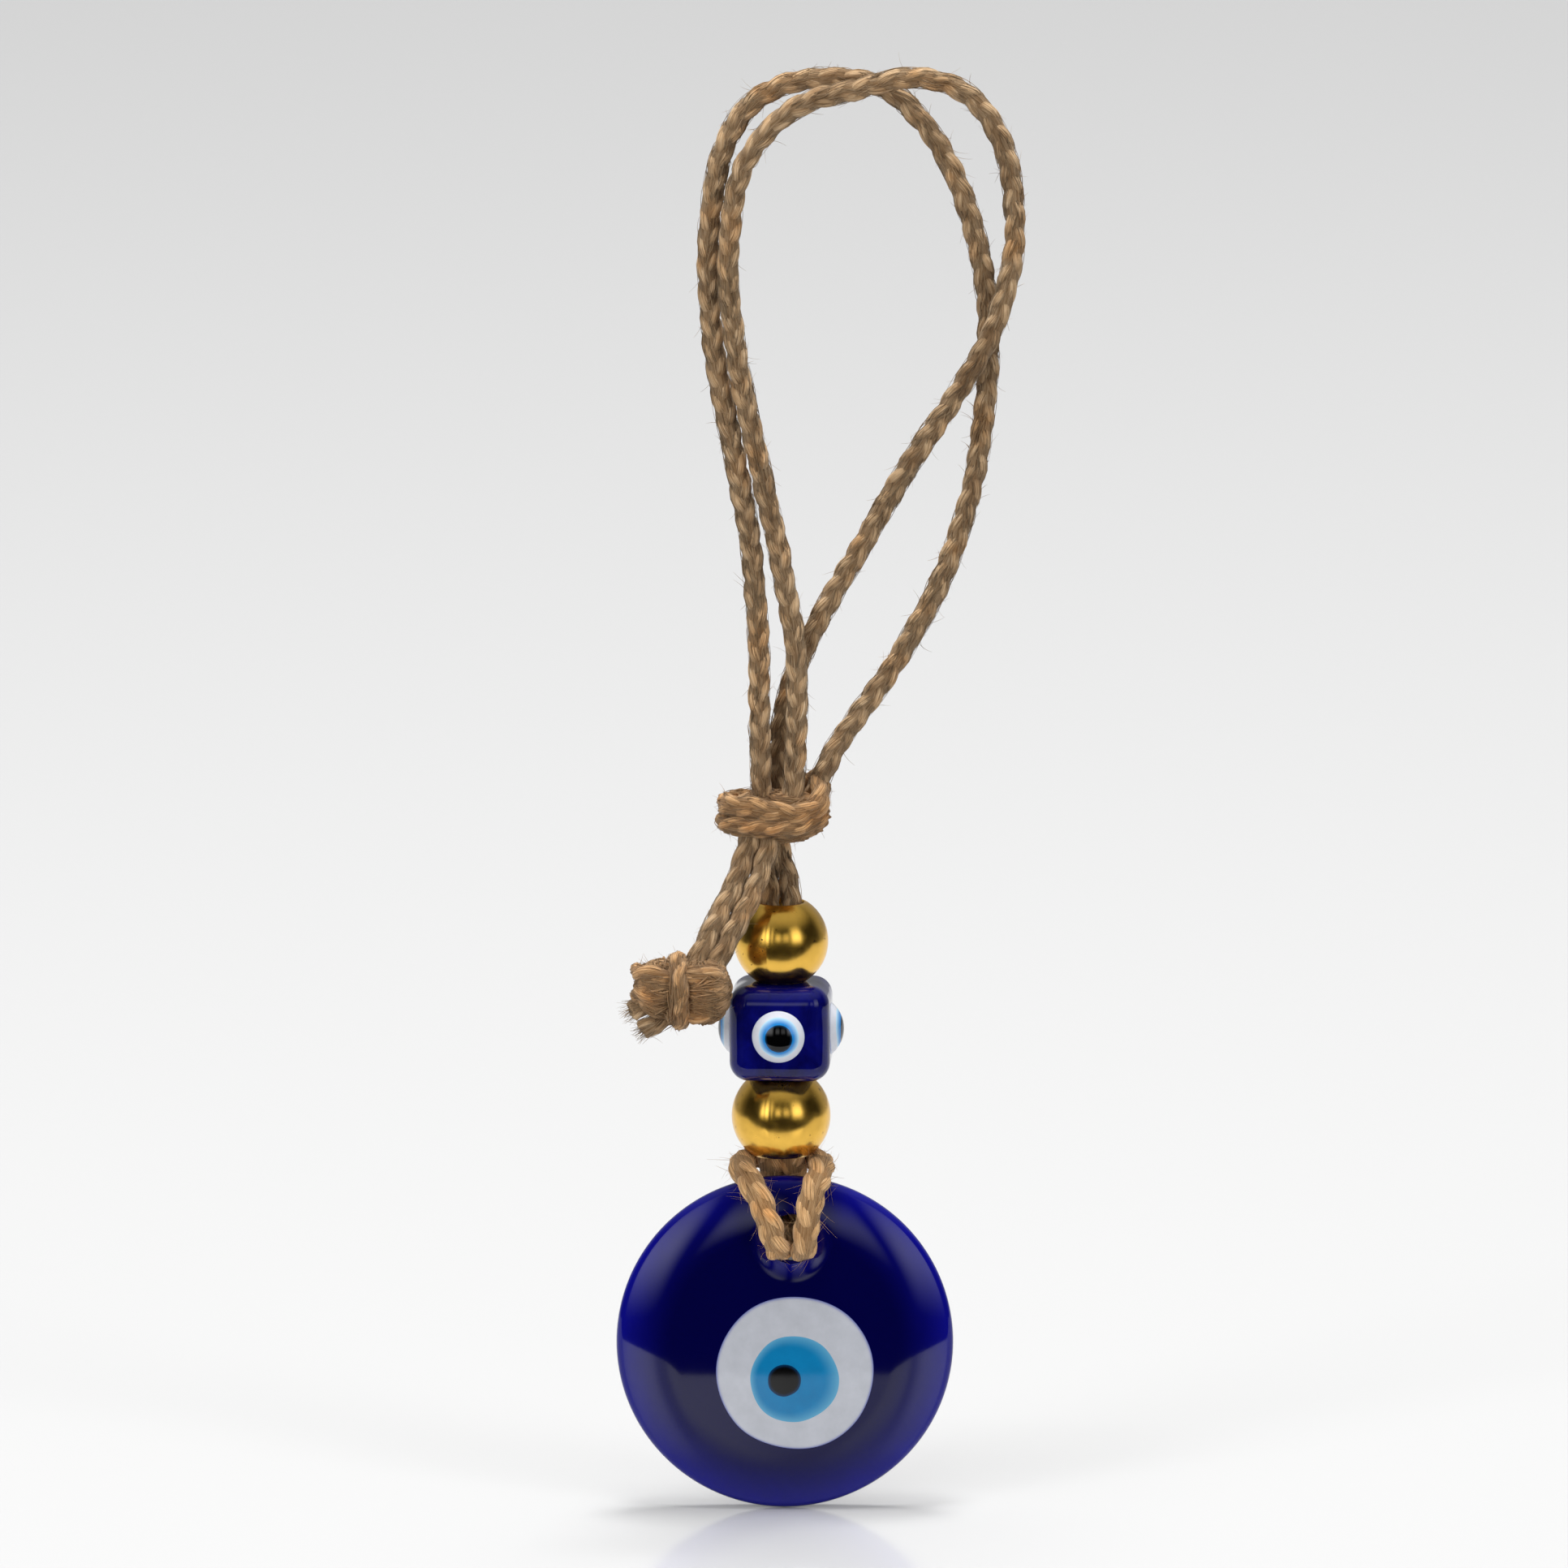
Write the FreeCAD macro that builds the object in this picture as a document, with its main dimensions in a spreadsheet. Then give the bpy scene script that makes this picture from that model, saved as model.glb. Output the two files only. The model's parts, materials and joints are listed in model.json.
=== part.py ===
"""Evil eye hanging ornament.

A glass eye disc hangs from a plaited jute cord.  The folded middle of the cord
is hitched through the hole of the disc.  Both halves run up through a gold
bead, a glass cube bead with four eyes and a second gold bead, meet in the main
knot, form a double hanging loop, come back through the main knot and end in a
short tail with a stopper knot.

Frame: millimetres, +Z up, +X to the right, the eyes look along -Y.  The origin
is where a hook would carry the crown of the hanging loop.
"""
import FreeCAD, Part
import math
import os
import Sketcher
from FreeCAD import Placement, Rotation, Vector

doc = FreeCAD.newDocument("EvilEyeOrnament")
X_AXIS = Vector(1, 0, 0)
Z_AXIS = Vector(0, 0, 1)

# --------------------------------------------------------------- dimensions
DIMENSIONS = [
    # alias, value in mm (or degrees), note
    ("cord_diameter", "2.9", "plaited jute cord"),
    ("running_gap", "0.1", "between stacked beads"),
    ("bore_play", "0.2", "room round two cord strands side by side"),
    ("stack_x", "-12.5", "axis of the bead stack"),
    ("stack_bottom", "-142.65", "underside of the lower gold bead"),
    ("lower_bead_radius", "6.6", "lower gold bead"),
    ("lower_bead_land", "0.83", "flat end of the lower gold bead round its bore"),
    ("upper_bead_radius", "6.3", "upper gold bead"),
    ("upper_bead_land", "0.3", "flat end of the upper gold bead round its bore"),
    ("gold_rim_round", "0.12", "rounding at the flat ends of the gold beads"),
    ("cube_width", "13.4", "cube bead, across its faces"),
    ("cube_height", "12.85", "cube bead, along the cord"),
    ("cube_edge_round", "2.5", "edges and corners of the cube bead"),
    ("cube_turn", "-3", "turn of the cube bead on the cord, degrees"),
    ("cube_eye_radius", "3.55", "white of a cube eye at the face"),
    ("cube_eye_height", "1.75", "how far a cube eye stands proud"),
    ("cube_iris_radius", "2.5", "light blue dab of a cube eye"),
    ("cube_iris_depth", "1.2", "depth of that dab under the eye's top"),
    ("cube_pupil_radius", "1.75", "black dab of a cube eye"),
    ("cube_pupil_depth", "0.7", "depth of that dab under the eye's top"),
    ("disc_radius", "22.5", "eye disc"),
    ("disc_front_height", "3.0", "crown of the front before the rim's plane"),
    ("disc_dome_drop", "0.32", "fall of the front from crown to shoulder"),
    ("shoulder_width", "8.0", "outer zone where the front rounds over"),
    ("rim_slope", "25", "slope of the front where the rim's rounding begins, degrees"),
    ("rim_round", "1.34", "front rounding of the rim"),
    ("rim_level", "0.3", "widest place of the rim, behind the rim's plane"),
    ("disc_back_height", "2.6", "flat back behind the rim's plane"),
    ("disc_back_round", "2.0", "rounding between rim and back"),
    ("disc_plane_y", "-1.6", "rim's plane, before the bead stack's axis"),
    ("bridge_height", "4.95", "glass between the hole and the disc's top"),
    ("hole_x", "-11.1", "centre of the hole, across"),
    ("hole_off_centre", "0.9", "hole to the right of the disc's centre"),
    ("dimple_radius", "4.9", "mouth of the sunk dimple round the hole"),
    ("dimple_depth", "0.9", "depth of the dimple"),
    ("dimple_level", "1.75", "lowest place of the dimple before the rim's plane"),
    ("dimple_lowered", "0.2", "dimple's centre below the hole's centre"),
    ("eye_white_radius", "10.4", "white dab of the disc's eye"),
    ("eye_white_depth", "1.6", "depth of the white dab"),
    ("eye_white_fall", "0.18", "fall of the front at the white dab's rim"),
    ("eye_white_right", "1.35", "white dab to the right of the disc's centre"),
    ("eye_white_up", "-4.0", "white dab above the disc's centre"),
    ("eye_iris_radius", "5.9", "light blue dab of the disc's eye"),
    ("eye_iris_depth", "1.1", "depth of the light blue dab"),
    ("eye_iris_fall", "0.07", "fall of the front at the light blue dab's rim"),
    ("eye_iris_right", "1.25", "light blue dab to the right"),
    ("eye_iris_up", "-4.85", "light blue dab above"),
    ("eye_pupil_radius", "2.2", "black dab of the disc's eye"),
    ("eye_pupil_depth", "0.7", "depth of the black dab"),
    ("eye_pupil_fall", "0.04", "fall of the front at the black dab's rim"),
    ("eye_pupil_right", "-0.1", "black dab to the right"),
    ("eye_pupil_up", "-4.75", "black dab above"),
    ("knot_x", "-13.0", "main knot, centre across"),
    ("knot_z", "-96.7", "main knot, centre up"),
    ("knot_width", "14.8", "main knot, across"),
    ("knot_depth", "11.6", "main knot, front to back"),
    ("knot_height", "7.2", "main knot, along the cord"),
    ("stopper_x", "-25.7", "stopper knot, centre across"),
    ("stopper_y", "-8.5", "stopper knot, centre front to back"),
    ("stopper_z", "-118.9", "stopper knot, centre up"),
    ("stopper_half_width", "6.9", "stopper knot, across"),
    ("stopper_half_depth", "4.3", "stopper knot, front to back"),
    ("stopper_half_height", "4.2", "stopper knot, up"),
    ("cut_end_start", "3.6", "cut ends begin this far from the stopper knot's centre"),
    ("cut_end_length", "2.9", "length of a cut end"),
    ("cut_end_slope", "34", "fall of the cut ends, degrees"),
    # worked out from the values above
    ("cord_radius", "=cord_diameter / 2", "cord"),
    ("strand_offset", "=cord_diameter / 2 + 0.01", "strand beside the axis of a bore"),
    ("loop_spread", "=1.6 * cord_diameter / 2.9 - 0.6", "factor on the loops' depths; 1 for a 2.9 cord"),
    ("bore_radius", "=cord_diameter + bore_play", "bead bores, two strands side by side"),
    ("lower_bead_height", "=2 * sqrt(lower_bead_radius ^ 2 - (bore_radius + lower_bead_land) ^ 2)",
     "lower gold bead between its flat ends"),
    ("upper_bead_height", "=2 * sqrt(upper_bead_radius ^ 2 - (bore_radius + upper_bead_land) ^ 2)",
     "upper gold bead between its flat ends"),
    ("lower_bead_half", "=lower_bead_height / 2", "its upper end"),
    ("lower_bead_floor", "=-lower_bead_height / 2", "its lower end"),
    ("lower_bead_rim", "=bore_radius + lower_bead_land", "outer edge of its flat ends"),
    ("upper_bead_half", "=upper_bead_height / 2", "upper gold bead's upper end"),
    ("upper_bead_floor", "=-upper_bead_height / 2", "its lower end"),
    ("upper_bead_rim", "=bore_radius + upper_bead_land", "outer edge of its flat ends"),
    ("lower_bead_z", "=stack_bottom + lower_bead_height / 2", "lower bead's centre"),
    ("cube_z", "=stack_bottom + lower_bead_height + running_gap + cube_height / 2",
     "cube's centre"),
    ("upper_bead_z", "=cube_z + cube_height / 2 + running_gap + upper_bead_height / 2",
     "upper bead's centre"),
    ("cube_eye_ball", "=(cube_eye_radius ^ 2 + cube_eye_height ^ 2) / (2 * cube_eye_height)",
     "radius of the ball that a cube eye is the cap of"),
    ("cube_eye_tilt", "=asin((cube_eye_ball - cube_eye_height) / cube_eye_ball)",
     "latitude of that cap's rim"),
    ("cube_iris_sag", "=cube_iris_depth - cube_eye_ball + sqrt(cube_eye_ball ^ 2 - "
     "cube_iris_radius ^ 2)", "light blue dab's depth under its own mouth"),
    ("cube_iris_ball", "=(cube_iris_radius ^ 2 + cube_iris_sag ^ 2) / (2 * cube_iris_sag)",
     "ball that the dab's underside is part of"),
    ("cube_pupil_sag", "=cube_pupil_depth - cube_eye_ball + sqrt(cube_eye_ball ^ 2 - "
     "cube_pupil_radius ^ 2)", "black dab's depth under its own mouth"),
    ("cube_pupil_ball", "=(cube_pupil_radius ^ 2 + cube_pupil_sag ^ 2) / (2 * cube_pupil_sag)",
     "ball that the dab's underside is part of"),
    ("hole_radius", "=cord_diameter + bore_play", "cord hole of the disc"),
    ("hitch_room", "=1.7 * cord_diameter - 2.23", "room for the hitch between the bead and the rim"),
    ("disc_top", "=stack_bottom - hitch_room", "highest place of the disc's rim"),
    ("hitch_level", "=(stack_bottom + disc_top) / 2", "between the lower bead and the rim"),
    ("hole_z", "=disc_top - bridge_height - hole_radius", "centre of the hole, up"),
    ("disc_x", "=hole_x - hole_off_centre", "disc's centre, across"),
    ("disc_z", "=disc_top - disc_radius", "disc's centre, up"),
    ("hole_up", "=disc_radius - bridge_height - hole_radius", "hole above the disc's centre"),
    ("dimple_up", "=hole_up - dimple_lowered", "dimple above the disc's centre"),
    ("dimple_ball", "=(dimple_radius ^ 2 + dimple_depth ^ 2) / (2 * dimple_depth)",
     "ball that the dimple is part of"),
    ("back_level", "=-disc_back_height", "flat back"),
    ("back_edge_radius", "=disc_radius - disc_back_round", "edge of the flat back"),
    ("back_round_level", "=disc_back_round - disc_back_height", "start of the back's rounding"),
    ("widest_level", "=-rim_level", "widest place of the rim"),
    ("shoulder_start", "=disc_radius - shoulder_width", "radius where the shoulder begins"),
    ("shoulder_start_level", "=disc_front_height - disc_dome_drop", "its height"),
    ("shoulder_end", "=disc_radius - rim_round * (1 - sin(rim_slope))",
     "radius where the rim's rounding begins"),
    ("shoulder_end_level", "=rim_round * cos(rim_slope) - rim_level", "its height"),
    ("shoulder_run", "=shoulder_end - shoulder_start", "shoulder, outwards"),
    ("shoulder_fall", "=shoulder_start_level - shoulder_end_level", "shoulder, down"),
    ("dome_ball", "=(shoulder_start ^ 2 + disc_dome_drop ^ 2) / (2 * disc_dome_drop)",
     "radius of the front's slight crown"),
    ("shoulder_round", "=sqrt(shoulder_run ^ 2 + shoulder_fall ^ 2) / (2 * sin(rim_slope * 1 deg - "
     "atan(shoulder_fall / shoulder_run)))", "radius of the shoulder, tangent to the rim"),
    ("eye_white_ball", "=(eye_white_radius ^ 2 + eye_white_depth ^ 2) / (2 * eye_white_depth)",
     "ball that the white dab's back is part of"),
    ("eye_iris_ball", "=(eye_iris_radius ^ 2 + eye_iris_depth ^ 2) / (2 * eye_iris_depth)",
     "ball of the light blue dab"),
    ("eye_pupil_ball", "=(eye_pupil_radius ^ 2 + eye_pupil_depth ^ 2) / (2 * eye_pupil_depth)",
     "ball of the black dab"),
    ("knot_side_round", "=knot_depth * 0.45", "upright corners of the main knot"),
    ("knot_edge_round", "=knot_height * 0.34", "upper and lower edges of the main knot"),
]

sheet = doc.addObject("Spreadsheet::Sheet", "Sizes")
for row, (alias, value, note) in enumerate(DIMENSIONS, start=1):
    sheet.set(f"A{row}", note)
    sheet.set(f"B{row}", value)
    sheet.setAlias(f"B{row}", alias)
doc.recompute()


def size(alias):
    """The value of one cell of the sheet, as a plain number."""
    cell = sheet.get(alias)
    return float(getattr(cell, "Value", cell))


def bind(thing, **expressions):
    """Binds properties of an object to expressions in the sheet's names."""
    for name, expression in expressions.items():
        thing.setExpression(name, expression)
    return thing


# ------------------------------------------------------------------ helpers
def origin_plane(body, role):
    """One of a body's own origin planes, such as XY_Plane."""
    return next(f for f in body.Origin.OriginFeatures if f.Role == role)


def sketch_on(body, name, role):
    """An empty sketch on an origin plane of a body."""
    sketch = body.newObject("Sketcher::SketchObject", name)
    sketch.AttachmentSupport = [(origin_plane(body, role), "")]
    sketch.MapMode = "FlatFace"
    return sketch


def bound(sketch, name, alias, *constraint):
    """A named driving constraint that takes its value from a cell of the sheet."""
    index = sketch.addConstraint(Sketcher.Constraint(*constraint, size(alias)))
    sketch.renameConstraint(index, name)
    sketch.setExpression(f".Constraints.{name}", f"Sizes.{alias}")


def bore_through(body, name, radius_alias):
    """A round hole along a body's own Z axis, right through both ways."""
    sketch = sketch_on(body, f"{name}_circle", "XY_Plane")
    circle = sketch.addGeometry(Part.Circle(Vector(0, 0, 0), Z_AXIS, size(radius_alias)))
    sketch.addConstraint(Sketcher.Constraint("Coincident", circle, 3, -1, 1))
    bound(sketch, "bore", radius_alias, "Radius", circle)
    before = body.Shape.Volume
    pocket = body.newObject("PartDesign::Pocket", name)
    pocket.Profile = sketch
    pocket.Type = "ThroughAll"
    pocket.Midplane = True
    doc.recompute()
    if body.Shape.Volume >= before:
        raise RuntimeError(f"{name} removes nothing")


def turned(body, name, corners, rounds):
    """Turns a half section about the body's Z axis.

    The corners are pairs of aliases (radius, height), anticlockwise; None for a
    radius puts the corner on the axis.  rounds gives the alias of the radius of
    the convex arc that leads from a corner to the next one.
    """
    section = sketch_on(body, f"{name}_section", "XZ_Plane")
    places = [Vector(size(r) if r else 0, size(up), 0) for r, up in corners]
    count = len(places)
    for number, start in enumerate(places):
        end = places[(number + 1) % count]
        if number not in rounds:
            section.addGeometry(Part.LineSegment(start, end))
            continue
        radius = size(rounds[number])
        chord = end - start
        left = Vector(-chord.y, chord.x, 0).normalize()
        rise = math.sqrt(max(radius ** 2 - chord.Length ** 2 / 4, 0))
        centre = (start + end) * 0.5 + left * rise
        first = math.atan2(start.y - centre.y, start.x - centre.x)
        last = math.atan2(end.y - centre.y, end.x - centre.x)
        if last < first:
            last += 2 * math.pi
        section.addGeometry(Part.ArcOfCircle(Part.Circle(centre, Z_AXIS, radius), first, last))
        bound(section, f"round_{number}", rounds[number], "Radius", number)
    for number, (radius, height) in enumerate(corners):
        section.addConstraint(Sketcher.Constraint("Coincident", (number - 1) % count, 2, number, 1))
        bound(section, f"height_{number}", height, "DistanceY", -1, 1, number, 1)
        if radius:
            bound(section, f"radius_{number}", radius, "DistanceX", -1, 1, number, 1)
        else:
            section.addConstraint(Sketcher.Constraint("PointOnObject", number, 1, -2))
    feature = body.newObject("PartDesign::Revolution", name)
    feature.Profile = section
    feature.ReferenceAxis = (section, ["V_Axis"])
    feature.Angle = 360
    doc.recompute()
    return feature


def round_edges(body, base, name, radius_alias, chosen):
    """Rounds the edges of the last feature that the chosen test picks."""
    edges = [f"Edge{i}" for i, e in enumerate(base.Shape.Edges, start=1) if chosen(e)]
    fillet = body.newObject("PartDesign::Fillet", name)
    fillet.Base = (base, edges)
    bind(fillet, Radius=f"Sizes.{radius_alias}")
    doc.recompute()
    return fillet


def is_upright(edge):
    """True for a straight edge along Z."""
    return len(edge.Vertexes) == 2 and abs(edge.Vertexes[0].Z - edge.Vertexes[1].Z) > 1e-3


def block(name, width, depth, height):
    """A body with a box about its own origin; the three sizes are aliases."""
    body = doc.addObject("PartDesign::Body", name)
    outline = sketch_on(body, f"{name}_outline", "XY_Plane")
    half_x = size(width) / 2
    half_y = size(depth) / 2
    corners = [Vector(-half_x, -half_y, 0), Vector(half_x, -half_y, 0),
               Vector(half_x, half_y, 0), Vector(-half_x, half_y, 0)]
    for start, end in zip(corners, corners[1:] + corners[:1]):
        outline.addGeometry(Part.LineSegment(start, end))
    for side, way in enumerate(("Horizontal", "Vertical", "Horizontal", "Vertical")):
        outline.addConstraint(Sketcher.Constraint("Coincident", side, 2, (side + 1) % 4, 1))
        outline.addConstraint(Sketcher.Constraint(way, side))
    outline.addConstraint(Sketcher.Constraint("Symmetric", 0, 1, 2, 1, -1, 1))
    bound(outline, "width", width, "DistanceX", 0, 1, 0, 2)
    bound(outline, "depth", depth, "DistanceY", 1, 1, 1, 2)
    pad = body.newObject("PartDesign::Pad", f"{name}_pad")
    pad.Profile = outline
    pad.Midplane = True
    bind(pad, Length=f"Sizes.{height}")
    doc.recompute()
    return body, pad


def ball(name, radius, x_alias, y_alias, height):
    """A cutting ball; height is an expression for its centre's height."""
    tool = doc.addObject("Part::Sphere", name)
    bind(tool, Radius=f"Sizes.{radius}")
    tool.setExpression("Placement.Base.z", height)
    if x_alias:
        tool.setExpression("Placement.Base.x", f"Sizes.{x_alias}")
        tool.setExpression("Placement.Base.y", f"Sizes.{y_alias}")
    return tool


def boolean(kind, name, base, tool):
    """A Part::Cut or Part::Common of two objects."""
    result = doc.addObject(f"Part::{kind}", name)
    result.Base = base
    result.Tool = tool
    return result


nodes = {}


def add_node(name, thing, x, y, z, turn=None):
    """Registers a sub-part under its file's name and puts it where it belongs."""
    thing.Label = name
    thing.Placement = Placement(Vector(x, y, z), turn or Rotation())
    nodes[name] = thing


# --------------------------------------------------------------- gold beads
for which in ("lower", "upper"):
    bead = doc.addObject("PartDesign::Body", f"{which.title()}Bead")
    solid = turned(bead, f"{which.title()}Bead_turned",
                   [("bore_radius", f"{which}_bead_floor"), (f"{which}_bead_rim", f"{which}_bead_floor"),
                    (f"{which}_bead_rim", f"{which}_bead_half"), ("bore_radius", f"{which}_bead_half")],
                   {1: f"{which}_bead_radius"})
    round_edges(bead, solid, f"{which.title()}Bead_rims", "gold_rim_round",
                lambda edge: edge.BoundBox.ZLength < 1e-6)
    add_node(f"{which}_gold_bead", bead, size("stack_x"), 0, size(f"{which}_bead_z"))

# ---------------------------------------------------------------- cube bead
cube_turn = size("cube_turn")
cube, cube_pad = block("CubeBead", "cube_width", "cube_width", "cube_height")
round_edges(cube, cube_pad, "CubeBead_round", "cube_edge_round", lambda edge: True)
bore_through(cube, "CubeBead_bore", "bore_radius")
add_node("cube_bead", cube, size("stack_x"), 0, size("cube_z"), Rotation(Z_AXIS, cube_turn))

# One eye about its own axis: a cap that stands on the plane z = 0, and the two
# balls that part its light blue and black dabs from its white.
eye_cap = doc.addObject("Part::Sphere", "EyeCap")
bind(eye_cap, Radius="Sizes.cube_eye_ball", Angle1="Sizes.cube_eye_tilt")
eye_cap.Angle2 = 90
eye_cap.setExpression("Placement.Base.z", "Sizes.cube_eye_height - Sizes.cube_eye_ball")
iris_tool = ball("EyeIrisTool", "cube_iris_ball", None, None,
                 "Sizes.cube_eye_height - Sizes.cube_iris_depth + Sizes.cube_iris_ball")
pupil_tool = ball("EyePupilTool", "cube_pupil_ball", None, None,
                  "Sizes.cube_eye_height - Sizes.cube_pupil_depth + Sizes.cube_pupil_ball")

for quarter, face in enumerate(("front", "right", "back", "left")):
    turn = Rotation(Z_AXIS, cube_turn + 90 * quarter) * Rotation(X_AXIS, 90)
    seat = turn.multVec(Vector(0, 0, size("cube_width") / 2))
    seat += Vector(size("stack_x"), 0, size("cube_z"))
    iris_lens = boolean("Common", f"IrisLens_{face}", eye_cap, iris_tool)
    dabs = {"white": boolean("Cut", f"EyeWhite_{face}", eye_cap, iris_tool),
            "iris": boolean("Cut", f"EyeIris_{face}", iris_lens, pupil_tool),
            "pupil": boolean("Common", f"EyePupil_{face}", eye_cap, pupil_tool)}
    for colour, dab in dabs.items():
        add_node(f"cube_eye_{colour}_{face}", dab, seat.x, seat.y, seat.z, turn)

# ----------------------------------------------------------------- eye disc
# Its own Z axis points out of the front.
blank = doc.addObject("PartDesign::Body", "DiscBlank")
turned(blank, "DiscBlank_turned",
       [(None, "back_level"), ("back_edge_radius", "back_level"),
        ("disc_radius", "back_round_level"), ("disc_radius", "widest_level"),
        ("shoulder_end", "shoulder_end_level"), ("shoulder_start", "shoulder_start_level"),
        (None, "disc_front_height")],
       {1: "disc_back_round", 3: "rim_round", 4: "shoulder_round", 5: "dome_ball"})

white_tool = ball("WhiteTool", "eye_white_ball", "eye_white_right", "eye_white_up",
                  "Sizes.disc_front_height - Sizes.eye_white_fall - Sizes.eye_white_depth"
                  " + Sizes.eye_white_ball")
disc_iris_tool = ball("IrisTool", "eye_iris_ball", "eye_iris_right", "eye_iris_up",
                      "Sizes.disc_front_height - Sizes.eye_iris_fall - Sizes.eye_iris_depth"
                      " + Sizes.eye_iris_ball")
disc_pupil_tool = ball("PupilTool", "eye_pupil_ball", "eye_pupil_right", "eye_pupil_up",
                       "Sizes.disc_front_height - Sizes.eye_pupil_fall - Sizes.eye_pupil_depth"
                       " + Sizes.eye_pupil_ball")
dimple_tool = ball("DimpleTool", "dimple_ball", "hole_off_centre", "dimple_up",
                   "Sizes.dimple_level + Sizes.dimple_ball")
hole_tool = doc.addObject("Part::Cylinder", "HoleTool")
bind(hole_tool, Radius="Sizes.hole_radius", Height="4 * Sizes.disc_back_height + 8")
hole_tool.setExpression("Placement.Base.x", "Sizes.hole_off_centre")
hole_tool.setExpression("Placement.Base.y", "Sizes.hole_up")
hole_tool.setExpression("Placement.Base.z", "-2 * Sizes.disc_back_height - 4")

holed = boolean("Cut", "DiscHoled", blank, hole_tool)
dimpled = boolean("Cut", "DiscDimpled", holed, dimple_tool)
white_lens = boolean("Common", "WhiteLens", blank, white_tool)
iris_lens = boolean("Common", "IrisLens", blank, disc_iris_tool)
disc_pieces = {
    "disc_glass": boolean("Cut", "DiscGlass", dimpled, white_tool),
    "disc_eye_white": boolean("Cut", "DiscEyeWhite", white_lens, disc_iris_tool),
    "disc_eye_iris": boolean("Cut", "DiscEyeIris", iris_lens, disc_pupil_tool),
    "disc_eye_pupil": boolean("Common", "DiscEyePupil", blank, disc_pupil_tool),
}
for name, piece in disc_pieces.items():
    add_node(name, piece, size("disc_x"), size("disc_plane_y"), size("disc_z"),
             Rotation(X_AXIS, 90))

# -------------------------------------------------------------------- knots
knot, knot_pad = block("MainKnot", "knot_width", "knot_depth", "knot_height")
knot_rounded = round_edges(knot, knot_pad, "MainKnot_sides", "knot_side_round", is_upright)
round_edges(knot, knot_rounded, "MainKnot_edges", "knot_edge_round",
            lambda edge: edge.BoundBox.ZLength < 1e-6)
add_node("main_knot", knot, size("knot_x"), 0, size("knot_z"))

stopper = doc.addObject("Part::Ellipsoid", "StopperKnot")
bind(stopper, Radius1="Sizes.stopper_half_height", Radius2="Sizes.stopper_half_width",
     Radius3="Sizes.stopper_half_depth")
stopper.Angle1 = -90
stopper.Angle2 = 90
add_node("stopper_knot", stopper, size("stopper_x"), size("stopper_y"), size("stopper_z"))

# The cut ends leave the stopper knot side by side, down and to the left.
slope = math.radians(size("cut_end_slope"))
end_way = Vector(-math.cos(slope), 0, -math.sin(slope))
end_side = Vector(math.sin(slope), 0, -math.cos(slope))
stopper_centre = Vector(size("stopper_x"), size("stopper_y"), size("stopper_z"))
for side, sign in (("left", -1), ("right", 1)):
    stub = doc.addObject("Part::Cylinder", f"CordEnd_{side}")
    bind(stub, Radius="Sizes.cord_radius", Height="Sizes.cut_end_length")
    foot = stopper_centre + end_way * size("cut_end_start")
    foot += end_side * (sign * size("strand_offset"))
    add_node(f"cord_end_{side}", stub, foot.x, foot.y, foot.z, Rotation(Z_AXIS, end_way))


# --------------------------------------------------------------------- cord
def cord_wire(points):
    """Straight runs joined by tangent arcs, and the arcs' radii."""
    edges = []
    radii = []
    last = points[0]
    for before, corner, after in zip(points, points[1:], points[2:]):
        back = before - corner
        ahead = after - corner
        turn = math.pi - back.getAngle(ahead)
        setback = 0.45 * min(back.Length, ahead.Length)
        radius = setback / math.tan(turn / 2)
        back.normalize()
        ahead.normalize()
        middle = (back + ahead).normalize()
        start = corner + back * setback
        end = corner + ahead * setback
        to_centre = radius / math.cos(turn / 2)
        edges.append(Part.LineSegment(last, start).toShape())
        edges.append(Part.Arc(start, corner + middle * (to_centre - radius), end).toShape())
        radii.append(radius)
        last = end
    edges.append(Part.LineSegment(last, points[-1]).toShape())
    return Part.Wire(edges), radii


def add_cord(name, places, spread=1.0):
    """A cord tube through hand-placed points; its shape starts at its first point."""
    places = [Vector(x, y * spread, z) for x, y, z in places]
    first = places[0]
    points = [place - first for place in places]
    wire, radii = cord_wire(points)
    start_way = points[1] - points[0]
    rim = Part.Wire([Part.Circle(points[0], start_way, size("cord_radius")).toShape()])
    tube = wire.makePipeShell([rim], True, False)
    expected = math.pi * size("cord_radius") ** 2 * wire.Length
    if not tube.isValid() or abs(tube.Volume / expected - 1) > 0.01:
        raise RuntimeError(f"{name}: volume {tube.Volume:.1f}, expected {expected:.1f}")
    cord = doc.addObject("Part::Feature", f"Cord_{name}")
    cord.Shape = tube
    add_node(name, cord, first.x, first.y, first.z)
    print(f"{name}: length {wire.Length:.1f} mm, smallest radius {min(radii):.2f} mm, "
          f"radii {' '.join(f'{r:.1f}' for r in radii)}")


knot_top = size("knot_z") + size("knot_height") / 2
knot_floor = size("knot_z") - size("knot_height") / 2
knot_x = size("knot_x")

add_cord("loop_outer", [
    (knot_x - 2.4, -1.5, knot_top - 1.2), (-15.7, -1.2, -85.0), (-15.4, -0.6, -74.1),
    (-16.2, 0.2, -61.7), (-18.6, 0.6, -48.5), (-21.2, 0.7, -36.5), (-22.4, 0.8, -25.0),
    (-21.9, 0.9, -12.9), (-19.0, 1.2, -2.8), (-12.8, 1.5, 1.9), (-4.7, 1.7, 2.8),
    (2.6, 1.7, 1.0), (8.0, 1.0, -5.2), (12.0, 0.8, -13.4), (14.6, 1.4, -23.4),
    (15.3, 1.5, -33.9), (14.4, 0.8, -44.7), (12.1, 0.4, -56.7), (7.6, 0.4, -68.0),
    (1.1, 0.6, -78.8), (-3.4, 0.85, -84.9), (-6.6, 1.1, -90.0),
    (knot_x + 4.6, 1.3, knot_top - 1.7)], size("loop_spread"))

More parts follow.
